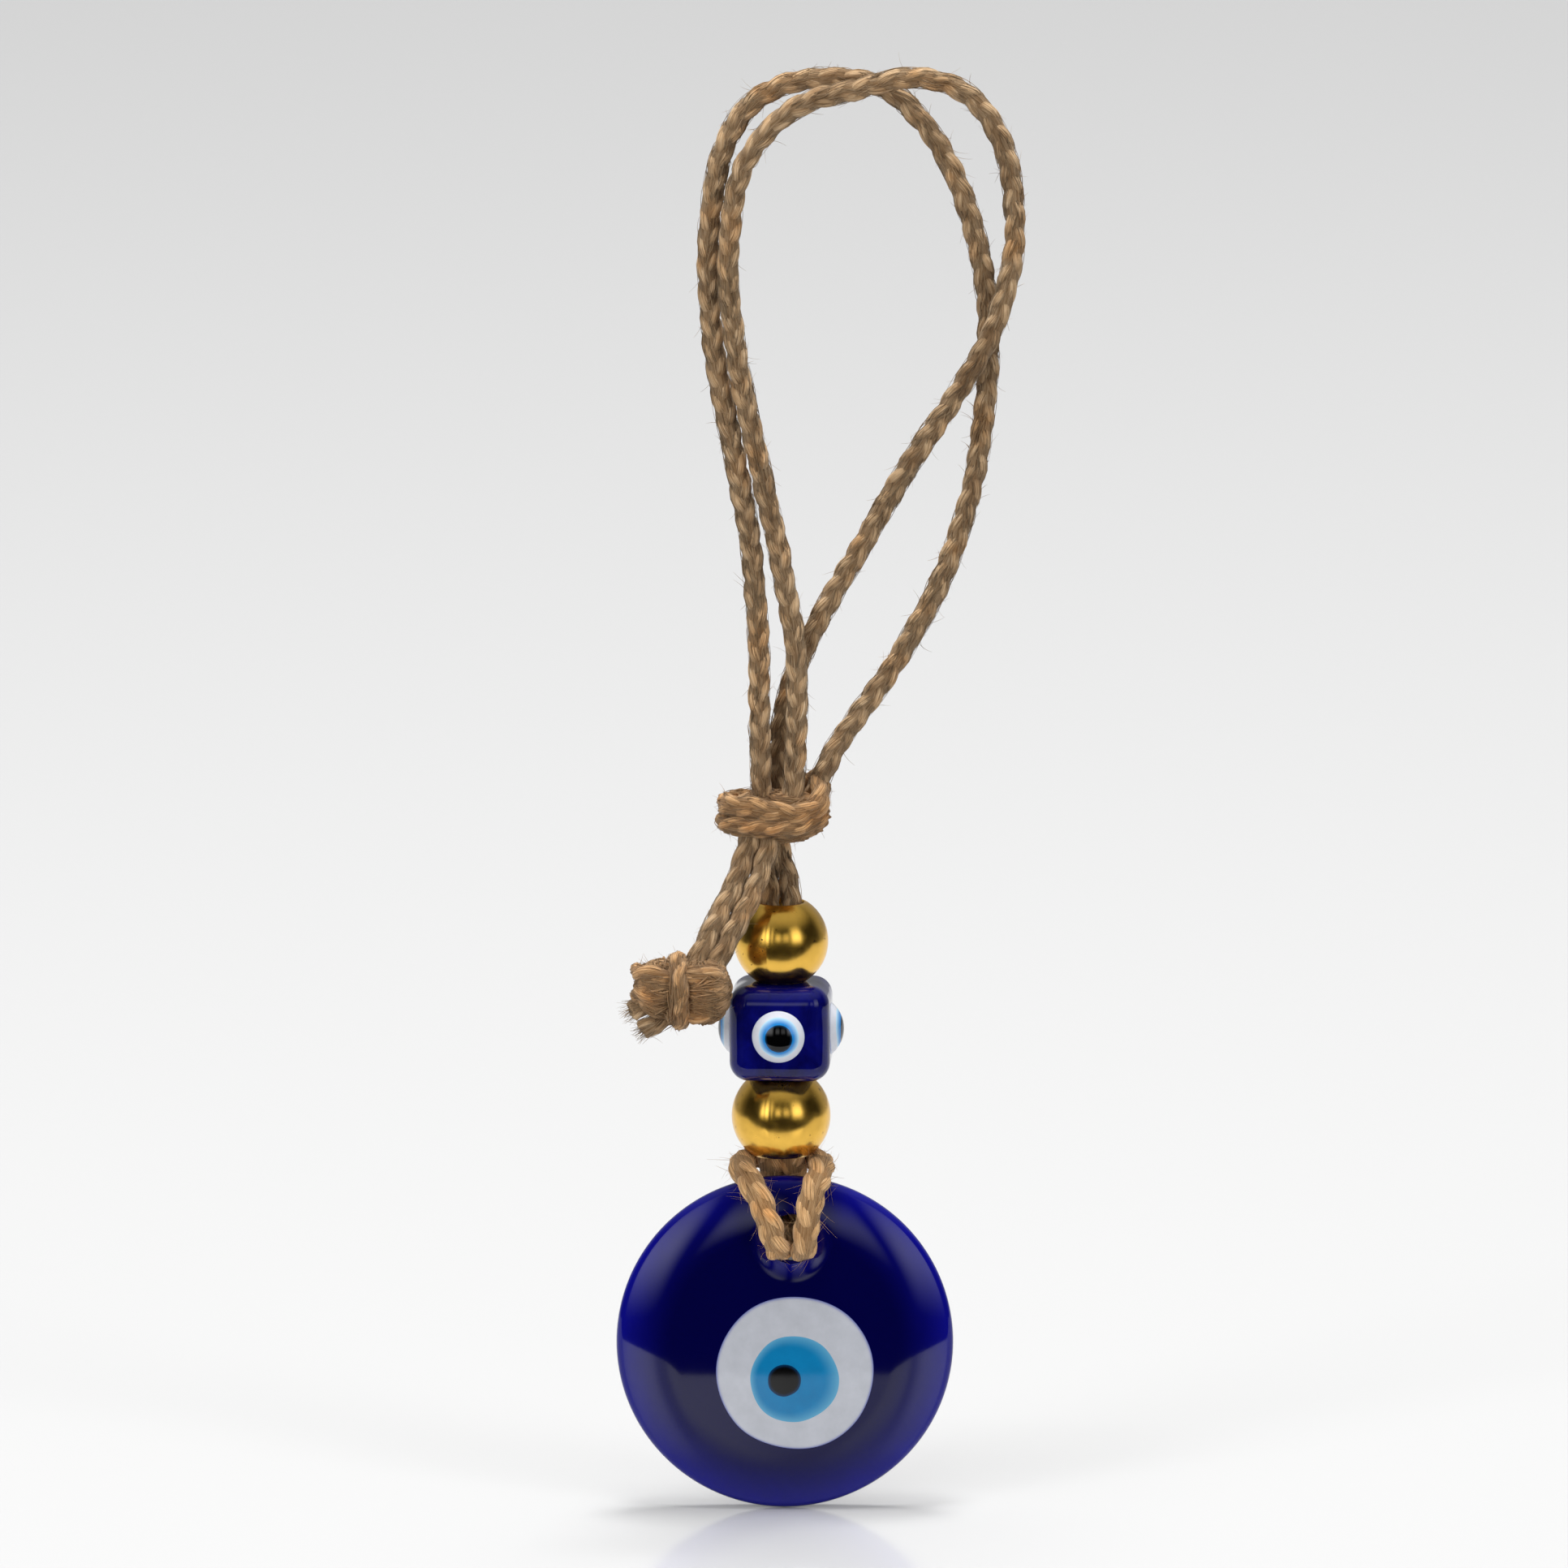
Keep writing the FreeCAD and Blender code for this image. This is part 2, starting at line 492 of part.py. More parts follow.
add_cord("loop_inner", [
    (knot_x + 2.4, -1.5, knot_top - 1.2), (-10.0, -1.45, -85.0), (-10.3, -1.5, -75.1),
    (-12.1, -1.2, -64.2), (-14.6, -0.8, -52.7), (-17.1, -0.7, -41.7), (-18.9, -0.8, -31.8),
    (-19.7, -0.9, -21.9), (-18.8, -1.0, -12.0), (-15.9, -1.2, -5.5), (-10.1, -1.5, -0.3),
    (-2.4, -1.7, 1.5), (4.0, -1.6, 3.2), (9.8, -1.3, 2.5), (14.2, -1.0, -0.7),
    (17.2, -0.7, -6.2), (18.6, -0.6, -13.0), (18.6, -1.2, -21.3), (16.2, -1.7, -30.2),
    (11.9, -1.3, -38.2), (6.6, -0.4, -46.0), (1.9, 0.4, -53.8), (-2.2, 1.2, -61.3),
    (-6.3, 1.8, -68.2), (-9.5, 1.9, -74.6), (-11.9, 1.7, -81.1), (-12.8, 1.3, -88.2),
    (knot_x, 1.0, knot_top - 1.7)], size("loop_spread"))

stack_x = size("stack_x")
strand = size("strand_offset")
meeting = size("lower_bead_z")
stack_top = size("upper_bead_z") + size("upper_bead_height") / 2
for side, sign, top_x in (("left", -1, knot_x - 2.4), ("right", 1, knot_x + 0.55)):
    x = stack_x + sign * strand
    add_cord(f"neck_strand_{side}", [
        (top_x, 0.2, knot_floor - 0.6), (x + (top_x - x) * 0.3, 0.0, knot_floor - 4.7),
        (x, 0.1, stack_top - 0.9), (x, -0.1, stack_top - 7.0), (x, 0.1, stack_top - 16.0),
        (x, -0.1, stack_top - 23.0), (x, 0.0, meeting - 0.15)])

# The hitch: down behind the glass, forward through the hole, up before the
# glass, outwards and back over the rim, and across behind the standing strands.
hole_x = size("hole_x")
hole_z = size("hole_z")
disc_top = size("disc_top")
level = size("hitch_level")
front_y = size("disc_plane_y") - size("disc_front_height") - size("cord_radius") - 0.15
behind_y = size("disc_plane_y") + size("disc_back_height") + size("cord_radius") + 0.55
add_cord("hitch_cord", [
    (stack_x - strand, 0.0, meeting - 0.15), (stack_x - strand, 0.1, meeting - 3.25),
    (stack_x - strand, 0.65, level + 0.7), (-13.5, behind_y, disc_top - 1.35),
    (hole_x - strand, behind_y, hole_z + 0.1), (hole_x - strand, front_y, hole_z + 0.1),
    (-15.4, front_y, disc_top - 1.85), (-17.4, -3.6, level - 0.4), (-18.0, -0.8, level + 0.4),
    (-17.3, 2.6, level + 0.25), (-14.6, 5.1, level), (-10.2, 5.1, level),
    (-7.5, 2.6, level + 0.25), (-6.9, -0.8, level + 0.4), (-7.3, -3.9, level - 0.65),
    (-8.6, front_y, disc_top - 1.85), (hole_x + strand, front_y, hole_z + 0.1),
    (hole_x + strand, behind_y, hole_z + 0.1), (-10.7, behind_y, disc_top - 1.35),
    (stack_x + strand, 0.65, level + 0.7), (stack_x + strand, 0.1, meeting - 3.25),
    (stack_x + strand, 0.0, meeting - 0.15)])

stopper_top = size("stopper_z") + size("stopper_half_height")
add_cord("tail_strand_left", [
    (knot_x - 4.5, -3.8, knot_floor - 0.7), (-18.9, -5.0, -105.2), (-21.3, -6.8, -110.0),
    (-24.2, -8.2, stopper_top - 1.3)])
add_cord("tail_strand_right", [
    (knot_x - 1.6, -3.6, knot_floor - 0.8), (-16.0, -5.0, -105.4), (-18.6, -6.6, -110.3),
    (-22.0, -8.0, stopper_top - 2.4)])

# -------------------------------------------------------------- check, write
doc.recompute()
for thing in doc.Objects:
    if {"Invalid", "Error"} & set(thing.State):
        raise RuntimeError(f"{thing.Name}: {thing.State}")
    shape = getattr(thing, "Shape", None)
    if shape is not None and thing.TypeId.startswith(("Part::", "PartDesign::")):
        if shape.isNull() or not shape.isValid():
            raise RuntimeError(f"{thing.Name}: no valid shape")

os.makedirs("parts", exist_ok=True)
for name, thing in nodes.items():
    if len(thing.Shape.Solids) != 1:
        raise RuntimeError(f"{name}: {len(thing.Shape.Solids)} solids")
    thing.Shape.exportStep(f"parts/{name}.step")
print(f"{len(nodes)} sub-parts written")
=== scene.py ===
"""Looks of the evil eye ornament: plaited jute, glass and gold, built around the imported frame."""
import json
import math

import bmesh
import bpy
import numpy as np
from bpy.props import FloatProperty, FloatVectorProperty, PointerProperty
from mathutils import Matrix, Vector, noise

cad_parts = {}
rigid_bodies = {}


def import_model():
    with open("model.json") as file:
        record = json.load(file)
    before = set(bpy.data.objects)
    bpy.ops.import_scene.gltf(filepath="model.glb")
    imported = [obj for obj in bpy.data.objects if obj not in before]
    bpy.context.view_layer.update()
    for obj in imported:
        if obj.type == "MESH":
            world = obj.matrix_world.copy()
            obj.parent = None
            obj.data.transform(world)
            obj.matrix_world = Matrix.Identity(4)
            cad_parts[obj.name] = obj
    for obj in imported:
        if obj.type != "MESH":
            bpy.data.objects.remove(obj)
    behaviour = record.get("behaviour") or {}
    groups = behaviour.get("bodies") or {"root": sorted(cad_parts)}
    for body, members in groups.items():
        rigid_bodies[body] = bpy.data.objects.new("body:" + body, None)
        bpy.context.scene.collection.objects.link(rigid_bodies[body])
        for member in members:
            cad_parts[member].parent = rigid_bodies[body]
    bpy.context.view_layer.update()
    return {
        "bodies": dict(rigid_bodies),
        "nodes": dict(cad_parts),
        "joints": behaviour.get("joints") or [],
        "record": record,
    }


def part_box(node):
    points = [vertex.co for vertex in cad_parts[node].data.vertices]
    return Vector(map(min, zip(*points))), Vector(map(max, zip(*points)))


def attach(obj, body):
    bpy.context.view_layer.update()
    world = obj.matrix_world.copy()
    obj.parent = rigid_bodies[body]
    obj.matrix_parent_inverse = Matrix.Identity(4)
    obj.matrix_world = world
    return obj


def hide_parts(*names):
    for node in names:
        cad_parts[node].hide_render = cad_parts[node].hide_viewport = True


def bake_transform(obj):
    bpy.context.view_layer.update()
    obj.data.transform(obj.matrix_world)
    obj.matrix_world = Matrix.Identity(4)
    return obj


bl_info = {
    "name": "Evil eye ornament",
    "version": (1, 0, 0),
    "blender": (4, 5, 0),
    "location": "3D View > Sidebar > Ornament",
    "description": "Builds the cord, knots, beads, glass eye disc and studio of a hanging ornament",
    "category": "Object",
}

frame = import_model()
MM = 0.001
TURN = 2 * math.pi

# ------------------------------------------------------------ places, from the frame


def middle(node):
    """The middle of a CAD node's box."""
    low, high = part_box(node)
    return (low + high) / 2


DISC_LOW, DISC_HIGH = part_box("disc_glass")
DISC_RADIUS = (DISC_HIGH.x - DISC_LOW.x) / 2
DISC_CENTRE = (DISC_LOW + DISC_HIGH) / 2
DISC_BACK = DISC_HIGH.y
DISC_RIM_Y = DISC_BACK - 2.6 * MM
STACK = middle("lower_gold_bead")
CUBE = middle("cube_bead")
KNOT = middle("main_knot")
STOPPER = middle("stopper_knot")

# Routes of the cords in millimetres, the same points as in the design.
LOOP_OUTER = [
    (-15.1, -1.5, -94.3), (-15.4, -1.2, -85.0), (-15.4, -0.6, -74.1), (-16.2, 0.2, -61.7),
    (-18.6, 0.6, -48.5), (-21.2, 0.7, -36.5), (-22.4, 0.8, -25.0), (-21.9, 0.9, -12.9),
    (-19.0, 1.2, -2.8), (-12.8, 1.5, 1.9), (-4.7, 1.7, 2.8), (2.6, 1.7, 1.0), (8.0, 1.0, -5.2),
    (12.0, 0.8, -13.4), (14.6, 1.4, -23.4), (15.3, 1.5, -33.9), (14.4, 0.8, -44.7),
    (12.1, 0.4, -56.7), (7.6, 0.4, -68.0), (1.1, 0.6, -78.8), (-3.4, 0.85, -84.9),
    (-6.6, 1.1, -90.0), (-8.4, 1.3, -94.8)]
LOOP_INNER = [
    (-10.9, -1.5, -94.3), (-10.4, -1.45, -85.0), (-10.3, -1.5, -75.1), (-12.1, -1.2, -64.2),
    (-14.6, -0.8, -52.7), (-17.1, -0.7, -41.7), (-18.9, -0.8, -31.8), (-19.7, -0.9, -21.9),
    (-18.8, -1.0, -12.0), (-15.9, -1.2, -5.5), (-10.1, -1.5, -0.3), (-2.4, -1.7, 1.5),
    (4.0, -1.6, 3.2), (9.8, -1.3, 2.5), (14.2, -1.0, -0.7), (17.2, -0.7, -6.2),
    (18.6, -0.6, -13.0), (18.6, -1.2, -21.3), (16.2, -1.7, -30.2), (11.9, -1.3, -38.2),
    (6.6, -0.4, -46.0), (1.9, 0.4, -53.8), (-2.2, 1.2, -61.3), (-6.3, 1.8, -68.2),
    (-9.5, 1.9, -74.6), (-11.9, 1.7, -81.1), (-12.8, 1.3, -88.2), (-13.0, 1.0, -94.8)]
NECK_LEFT = [
    (-15.5, 0.4, -98.2), (-15.1, 0.2, -100.9), (-14.1, 0.0, -105.0), (-13.96, 0.1, -109.3),
    (-13.96, -0.1, -115.4), (-13.96, 0.1, -124.4), (-13.96, -0.1, -131.4), (-13.96, 0.0, -137.5)]
NECK_RIGHT = [
    (-12.3, 0.4, -98.2), (-13.0, 0.2, -100.9), (-11.5, 0.0, -105.0), (-11.04, 0.1, -109.3),
    (-11.04, -0.1, -115.4), (-11.04, 0.1, -124.4), (-11.04, -0.1, -131.4), (-11.04, 0.0, -137.5)]
HITCH = [
    (-13.96, 0.0, -137.5), (-13.96, 0.1, -140.6), (-13.96, 0.65, -143.3), (-13.5, 3.0, -146.7),
    (-12.56, 3.0, -153.6), (-12.6, -6.5, -156.0), (-15.4, -6.2, -147.2), (-17.4, -3.6, -144.4),
    (-18.0, -0.8, -143.6), (-17.3, 2.6, -143.75), (-14.6, 5.1, -144.0), (-10.2, 5.1, -144.0),
    (-7.5, 2.6, -143.75), (-6.9, -0.8, -143.6), (-7.3, -3.9, -144.65), (-8.6, -6.2, -147.2),
    (-9.55, -6.5, -156.0), (-9.64, 3.0, -153.6), (-10.7, 3.0, -146.7), (-11.04, 0.65, -143.3),
    (-11.04, 0.1, -140.6), (-11.04, 0.0, -137.5)]
TAIL_LEFT = [
    (-16.0, -1.8, -96.8), (-17.1, -3.8, -101.0), (-18.65, -5.0, -105.2), (-21.3, -6.8, -110.0),
    (-24.2, -8.2, -116.0), (-27.0, -8.5, -119.0), (-32.4, -8.6, -121.7)]
TAIL_RIGHT = [
    (-13.5, -1.8, -97.0), (-14.45, -3.6, -101.1), (-15.75, -5.0, -105.4), (-18.5, -6.6, -110.3),
    (-22.0, -8.0, -117.1), (-25.6, -8.5, -121.2), (-30.9, -8.6, -124.3)]
# Turns of the knots, outside to be seen, their ends inside.
KNOT_UPPER_TURN = [
    (-12.0, 3.0, -94.5), (-9.4, 3.6, -92.8), (-7.6, 2.0, -92.1), (-7.0, -0.6, -93.2),
    (-7.4, -3.0, -95.0), (-10.2, -4.4, -96.0), (-13.5, -4.6, -95.4), (-17.0, -4.2, -94.8),
    (-19.7, -2.4, -95.0), (-20.1, 0.8, -95.2), (-18.4, 3.6, -95.2), (-14.0, 4.6, -95.0),
    (-10.0, 3.6, -95.0), (-9.0, 1.0, -95.4)]
KNOT_LOWER_TURN = [
    (-11.0, 1.0, -96.6), (-8.6, 2.8, -96.8), (-7.2, 0.8, -96.6), (-7.4, -2.4, -97.1),
    (-10.2, -4.4, -97.9), (-13.5, -4.7, -97.7), (-17.0, -4.2, -97.6), (-19.8, -2.2, -97.6),
    (-20.1, 1.0, -97.6), (-18.2, 3.7, -97.7), (-13.5, 4.6, -97.8), (-9.4, 3.8, -97.6),
    (-8.0, 1.0, -97.2)]
STOPPER_TURNS = [
    # round the right end, three rows
    [(-26.0, -9.5, -117.0), (-25.0, -11.6, -116.4), (-22.6, -11.6, -116.2), (-21.1, -9.6, -116.3),
     (-21.1, -7.2, -116.5), (-22.6, -5.4, -116.6), (-25.6, -5.6, -117.0), (-26.6, -7.6, -118.0)],
    [(-26.4, -9.5, -119.0), (-25.2, -12.1, -119.0), (-22.4, -12.1, -119.0), (-20.5, -9.9, -119.1),
     (-20.5, -7.0, -119.2), (-22.4, -5.0, -119.1), (-25.6, -5.2, -119.0), (-26.6, -7.6, -119.0)],
    [(-26.0, -9.5, -121.2), (-25.0, -11.7, -121.6), (-22.8, -11.6, -121.7), (-21.4, -9.7, -121.6),
     (-21.4, -7.2, -121.5), (-22.8, -5.4, -121.5), (-25.6, -5.6, -121.3), (-26.6, -7.6, -120.4)],
    # round the left end
    [(-25.8, -9.0, -117.6), (-27.4, -11.4, -116.6), (-29.8, -11.4, -116.1), (-31.3, -9.6, -116.2),
     (-31.3, -7.2, -116.6), (-29.8, -5.6, -117.0), (-27.0, -5.6, -117.4), (-25.8, -7.6, -118.0)],
    [(-25.8, -9.0, -119.6), (-27.4, -11.6, -119.4), (-29.8, -11.5, -119.0), (-31.2, -9.6, -119.2),
     (-31.2, -7.4, -119.6), (-29.8, -5.6, -119.9), (-27.0, -5.6, -120.2), (-25.8, -7.6, -120.0)],
    # over the middle
    [(-26.6, -8.0, -118.6), (-26.5, -5.0, -120.4), (-26.4, -5.2, -122.4), (-26.2, -8.6, -123.0),
     (-26.0, -11.8, -122.2), (-26.0, -13.2, -119.4), (-26.2, -12.8, -116.6), (-26.4, -9.6, -114.9),
     (-26.6, -6.4, -115.3), (-26.6, -4.6, -117.4), (-26.6, -6.2, -119.4)]]

# Wound bodies of the stopper knot: centre, half sizes, fibres on them.
STOPPER_LOBES = [((-22.9, -8.5, -119.0), (3.6, 4.9, 4.2), 620),
                 ((-28.3, -8.5, -118.6), (3.6, 4.3, 3.8), 480)]


# -------------------------------------------------------------------- settings
class CordSettings(bpy.types.PropertyGroup):
    """Sizes of the plaited cord."""
    diameter: FloatProperty(name="Diameter", description="Width of the plait", default=2.9 * MM,
                            unit="LENGTH", min=1 * MM)
    period: FloatProperty(name="Plait length", description="Length in which a ply comes back to its side",
                          default=10.4 * MM, unit="LENGTH", min=2 * MM)
    ply_radius: FloatProperty(name="Ply radius", description="Radius of one of the three plies",
                              default=0.74 * MM, unit="LENGTH", min=0.1 * MM)
    sway: FloatProperty(name="Sway", description="How far a ply swings sideways", default=0.73 * MM,
                        unit="LENGTH")
    rise: FloatProperty(name="Rise", description="How far a ply swings over and under",
                        default=0.46 * MM, unit="LENGTH")
    fluff: FloatProperty(name="Fluff", description="Loose fibres per millimetre of cord", default=2.6,
                         min=0.0)
    light: FloatVectorProperty(name="Light fibre", description="Colour of the palest fibres",
                               subtype="COLOR", default=(0.66, 0.46, 0.27), min=0, max=1)
    tan: FloatVectorProperty(name="Tan fibre", description="Colour of most of the fibres",
                             subtype="COLOR", default=(0.42, 0.26, 0.13), min=0, max=1)
    # This colour is painted shade: it is mixed in between and under the plies where the mask of painted
    # shade is low.
    dark: FloatVectorProperty(name="Crease", description="Colour between the plies", subtype="COLOR",
                              default=(0.08, 0.04, 0.015), min=0, max=1)


class GlassSettings(bpy.types.PropertyGroup):
    """Colours of the glass."""
    navy: FloatVectorProperty(name="Navy", description="Glass of the disc", subtype="COLOR",
                              default=(0.0003, 0.0002, 0.036), min=0, max=1)
    # Cobalt is painted light: the lighter blue where light would shine through thin glass near the rim and
    # the hole.
    cobalt: FloatVectorProperty(name="Cobalt", description="Where the glass is thin", subtype="COLOR",
                                default=(0.004, 0.004, 0.22), min=0, max=1)
    white: FloatVectorProperty(name="White", description="White dabs", subtype="COLOR",
                               default=(0.44, 0.455, 0.5), min=0, max=1)
    sky: FloatVectorProperty(name="Light blue", description="Light blue dabs", subtype="COLOR",
                             default=(0.004, 0.165, 0.37), min=0, max=1)
    black: FloatVectorProperty(name="Black", description="Pupils", subtype="COLOR",
                               default=(0.0004, 0.0004, 0.0005), min=0, max=1)


class GoldSettings(bpy.types.PropertyGroup):
    """Finish of the gold beads."""
    colour: FloatVectorProperty(name="Gold", description="Metallised gold", subtype="COLOR",
                                default=(0.95, 0.57, 0.1), min=0, max=1)
    seam: FloatProperty(name="Seam", description="Height of the mould seam", default=0.05 * MM,
                        unit="LENGTH")


class StudioSettings(bpy.types.PropertyGroup):
    """Camera, floor and lights."""
    view_width: FloatProperty(name="View width", description="Width of the view at the ornament",
                              default=208.98 * MM, unit="LENGTH")
    distance: FloatProperty(name="Distance", description="Camera to ornament", default=5.0,
                            unit="LENGTH")
    elevation: FloatProperty(name="Elevation", description="How far the camera looks down",
                             default=math.radians(10), subtype="ANGLE")
    aim_x: FloatProperty(name="Aim across", description="Middle of the view", default=-12.115 * MM,
                         unit="LENGTH")
    aim_z: FloatProperty(name="Aim up", description="Middle of the view", default=-92.485 * MM,
                         unit="LENGTH")


# ------------------------------------------------------------------ mesh helpers
def new_object(name, mesh):
    """Links a new object with this mesh to the scene."""
    thing = bpy.data.objects.new(name, mesh)
    bpy.context.scene.collection.objects.link(thing)
    return thing


def only(thing):
    """Makes one object the only selected and active one."""
    bpy.ops.object.select_all(action="DESELECT")
    thing.select_set(True)
    bpy.context.view_layer.objects.active = thing


def settle(thing, smooth=True, angle=None):
    """Applies an object's place to its mesh and shades it."""
    only(thing)
    bpy.ops.object.transform_apply(location=True, rotation=True, scale=True)
    if angle is not None:
        bpy.ops.object.shade_smooth_by_angle(angle=math.radians(angle))
    elif smooth:
        bpy.ops.object.shade_smooth()
    return thing


def outward(thing):
    """Merges doubles and turns all faces outwards."""
    only(thing)
    bpy.ops.object.mode_set(mode="EDIT")
    bpy.ops.mesh.select_all(action="SELECT")
    bpy.ops.mesh.remove_doubles(threshold=0.001 * MM)
    bpy.ops.mesh.normals_make_consistent(inside=False)
    bpy.ops.object.mode_set(mode="OBJECT")


def spun(name, profile, centre, steps):
    """Spins a closed outline of (radius, height) about the upright axis through centre."""
    mesh = bpy.data.meshes.new(name)
    places = [(centre.x + r, centre.y, centre.z + z) for r, z in profile]
    count = len(places)
    mesh.from_pydata(places, [(i, (i + 1) % count) for i in range(count)], [])
    thing = new_object(name, mesh)
    only(thing)
    bpy.ops.object.mode_set(mode="EDIT")
    bpy.ops.mesh.select_all(action="SELECT")
    bpy.ops.mesh.spin(steps=steps, angle=TURN, center=centre, axis=(0, 0, 1))
    bpy.ops.object.mode_set(mode="OBJECT")
    outward(thing)
    return thing


def cut_with(thing, tool, operation="DIFFERENCE"):
    """Applies a boolean with a tool object, which is then removed."""
    only(thing)
    modifier = thing.modifiers.new("cut", "BOOLEAN")
    modifier.operation = operation
    modifier.object = tool
    modifier.solver = "EXACT"
    bpy.ops.object.modifier_apply(modifier=modifier.name)
    bpy.data.objects.remove(tool)


def arc(centre, radius, first, last, count):
    """Points on an arc, angles in degrees."""
    steps = [math.radians(first + (last - first) * i / (count - 1)) for i in range(count)]
    return [(centre[0] + radius * math.cos(a), centre[1] + radius * math.sin(a)) for a in steps]


def dress(thing, material):
    """Gives a piece its material."""
    thing.data.materials.clear()
    thing.data.materials.append(material)


# -------------------------------------------------------------------- the cord
def resampled(line, step):
    """Points at equal steps along a polyline."""
    gaps = np.linalg.norm(np.diff(line, axis=0), axis=1)
    along = np.concatenate([[0], np.cumsum(gaps)])
    count = max(int(round(along[-1] / step)) + 1, 4)
    places = np.linspace(0, along[-1], count)
    return np.stack([np.interp(places, along, line[:, axis]) for axis in range(3)], axis=1)


def smooth_line(places, step=0.34 * MM):
    """The smooth NURBS line of a route, as equally spaced points."""
    curve = bpy.data.curves.new("route", "CURVE")
    curve.dimensions = "3D"
    curve.resolution_u = 40
    spline = curve.splines.new("NURBS")
    spline.points.add(len(places) - 1)
    for point, place in zip(spline.points, places):
        point.co = (place[0] * MM, place[1] * MM, place[2] * MM, 1)
    spline.order_u = 3
    spline.use_endpoint_u = True
    holder = new_object("route", curve)
    mesh = bpy.data.meshes.new_from_object(holder)
    line = np.array([vertex.co for vertex in mesh.vertices])
    bpy.data.objects.remove(holder)
    bpy.data.curves.remove(curve)
    bpy.data.meshes.remove(mesh)
    return resampled(line, step)


def unit(vectors):
    """Rows scaled to length one."""
    return vectors / np.maximum(np.linalg.norm(vectors, axis=1, keepdims=True), 1e-12)


def carried_frame(line, depth_way):
    """Directions along, across and through a line, carried without twist."""
    along = unit(np.gradient(line, axis=0))
    through = np.empty_like(along)
    way = np.array(depth_way, float)
    for number, tangent in enumerate(along):
        way = way - tangent * way.dot(tangent)
        way = way / np.linalg.norm(way)
        through[number] = way
    return along, np.cross(through, along), through


class Weave:
    """Collects tubes, and turns them into one mesh with a UV map and an attribute of painted shade."""

    def __init__(self):
        self.places = []
        self.quads = []
        self.caps = []
        self.maps = []
        self.painted_shade_masks = []
        self.count = 0

    # The fifth argument of tube is a mask of painted shade for each ring, 1 for none.
    def tube(self, line, radii, sides, side_way, painted_shade_mask, start_u=0.0, squash=1.0, wraps=1):
        """One closed tube; UV runs along it in millimetres and wraps times round it."""
        along = unit(np.gradient(line, axis=0))
        first = unit(side_way - along * np.sum(side_way * along, axis=1, keepdims=True))
        second = np.cross(along, first)
        angles = np.arange(sides) / sides * TURN
        rings = len(line)
        offsets = (first[:, None, :] * np.cos(angles)[None, :, None]
                   + second[:, None, :] * np.sin(angles)[None, :, None] * squash)
        places = line[:, None, :] + offsets * np.asarray(radii).reshape(rings, -1)[:, :, None]
        ring = np.arange(rings - 1)[:, None] * sides + self.count
        near = ring + np.arange(sides)[None, :]
        far = ring + (np.arange(sides)[None, :] + 1) % sides
        quads = np.stack([near, far, far + sides, near + sides], axis=-1).reshape(-1, 4)
        gaps = np.linalg.norm(np.diff(line, axis=0), axis=1)
        reach = (np.concatenate([[0], np.cumsum(gaps)]) / MM + start_u)
        low = np.broadcast_to(reach[:-1, None], (rings - 1, sides))
        high = np.broadcast_to(reach[1:, None], (rings - 1, sides))
        left = np.broadcast_to(np.arange(sides)[None, :] * wraps / sides, (rings - 1, sides))
        right = left + wraps / sides
        maps = np.stack([np.stack([low, left], -1), np.stack([low, right], -1),
                         np.stack([high, right], -1), np.stack([high, left], -1)], axis=2)
        self.places.append(places.reshape(-1, 3))
        self.quads.append(quads)
        self.maps.append(maps.reshape(-1, 2))
        self.caps.append(([self.count + k for k in reversed(range(sides))], reach[0]))
        self.caps.append(([self.count + (rings - 1) * sides + k for k in range(sides)], reach[-1]))
        self.painted_shade_masks.append(np.broadcast_to(np.asarray(painted_shade_mask).reshape(rings, -1),
                                            (rings, sides)).reshape(-1))
        self.count += rings * sides

    def finish(self, name):
        """The mesh object of all that was collected."""
        quads = np.concatenate(self.quads)
        faces = quads.tolist() + [cap for cap, _ in self.caps]
        mesh = bpy.data.meshes.new(name)
        mesh.from_pydata(np.concatenate(self.places).tolist(), [], faces)
        tail = []
        for cap, reach in self.caps:
            tail += [(reach, k / len(cap)) for k in range(len(cap))]
        layer = mesh.uv_layers.new(name="fibre")
        layer.data.foreach_set("uv", np.concatenate([np.concatenate(self.maps),
                                                     np.array(tail)]).ravel())
        # The mask of painted shade: 1 out in the open, lower where shade would fall between the plies.
        attribute = mesh.attributes.new("painted_shade_mask", "FLOAT", "POINT")
        attribute.data.foreach_set("value", np.concatenate(self.painted_shade_masks))
        thing = new_object(name, mesh)
        settle(thing)
        return thing


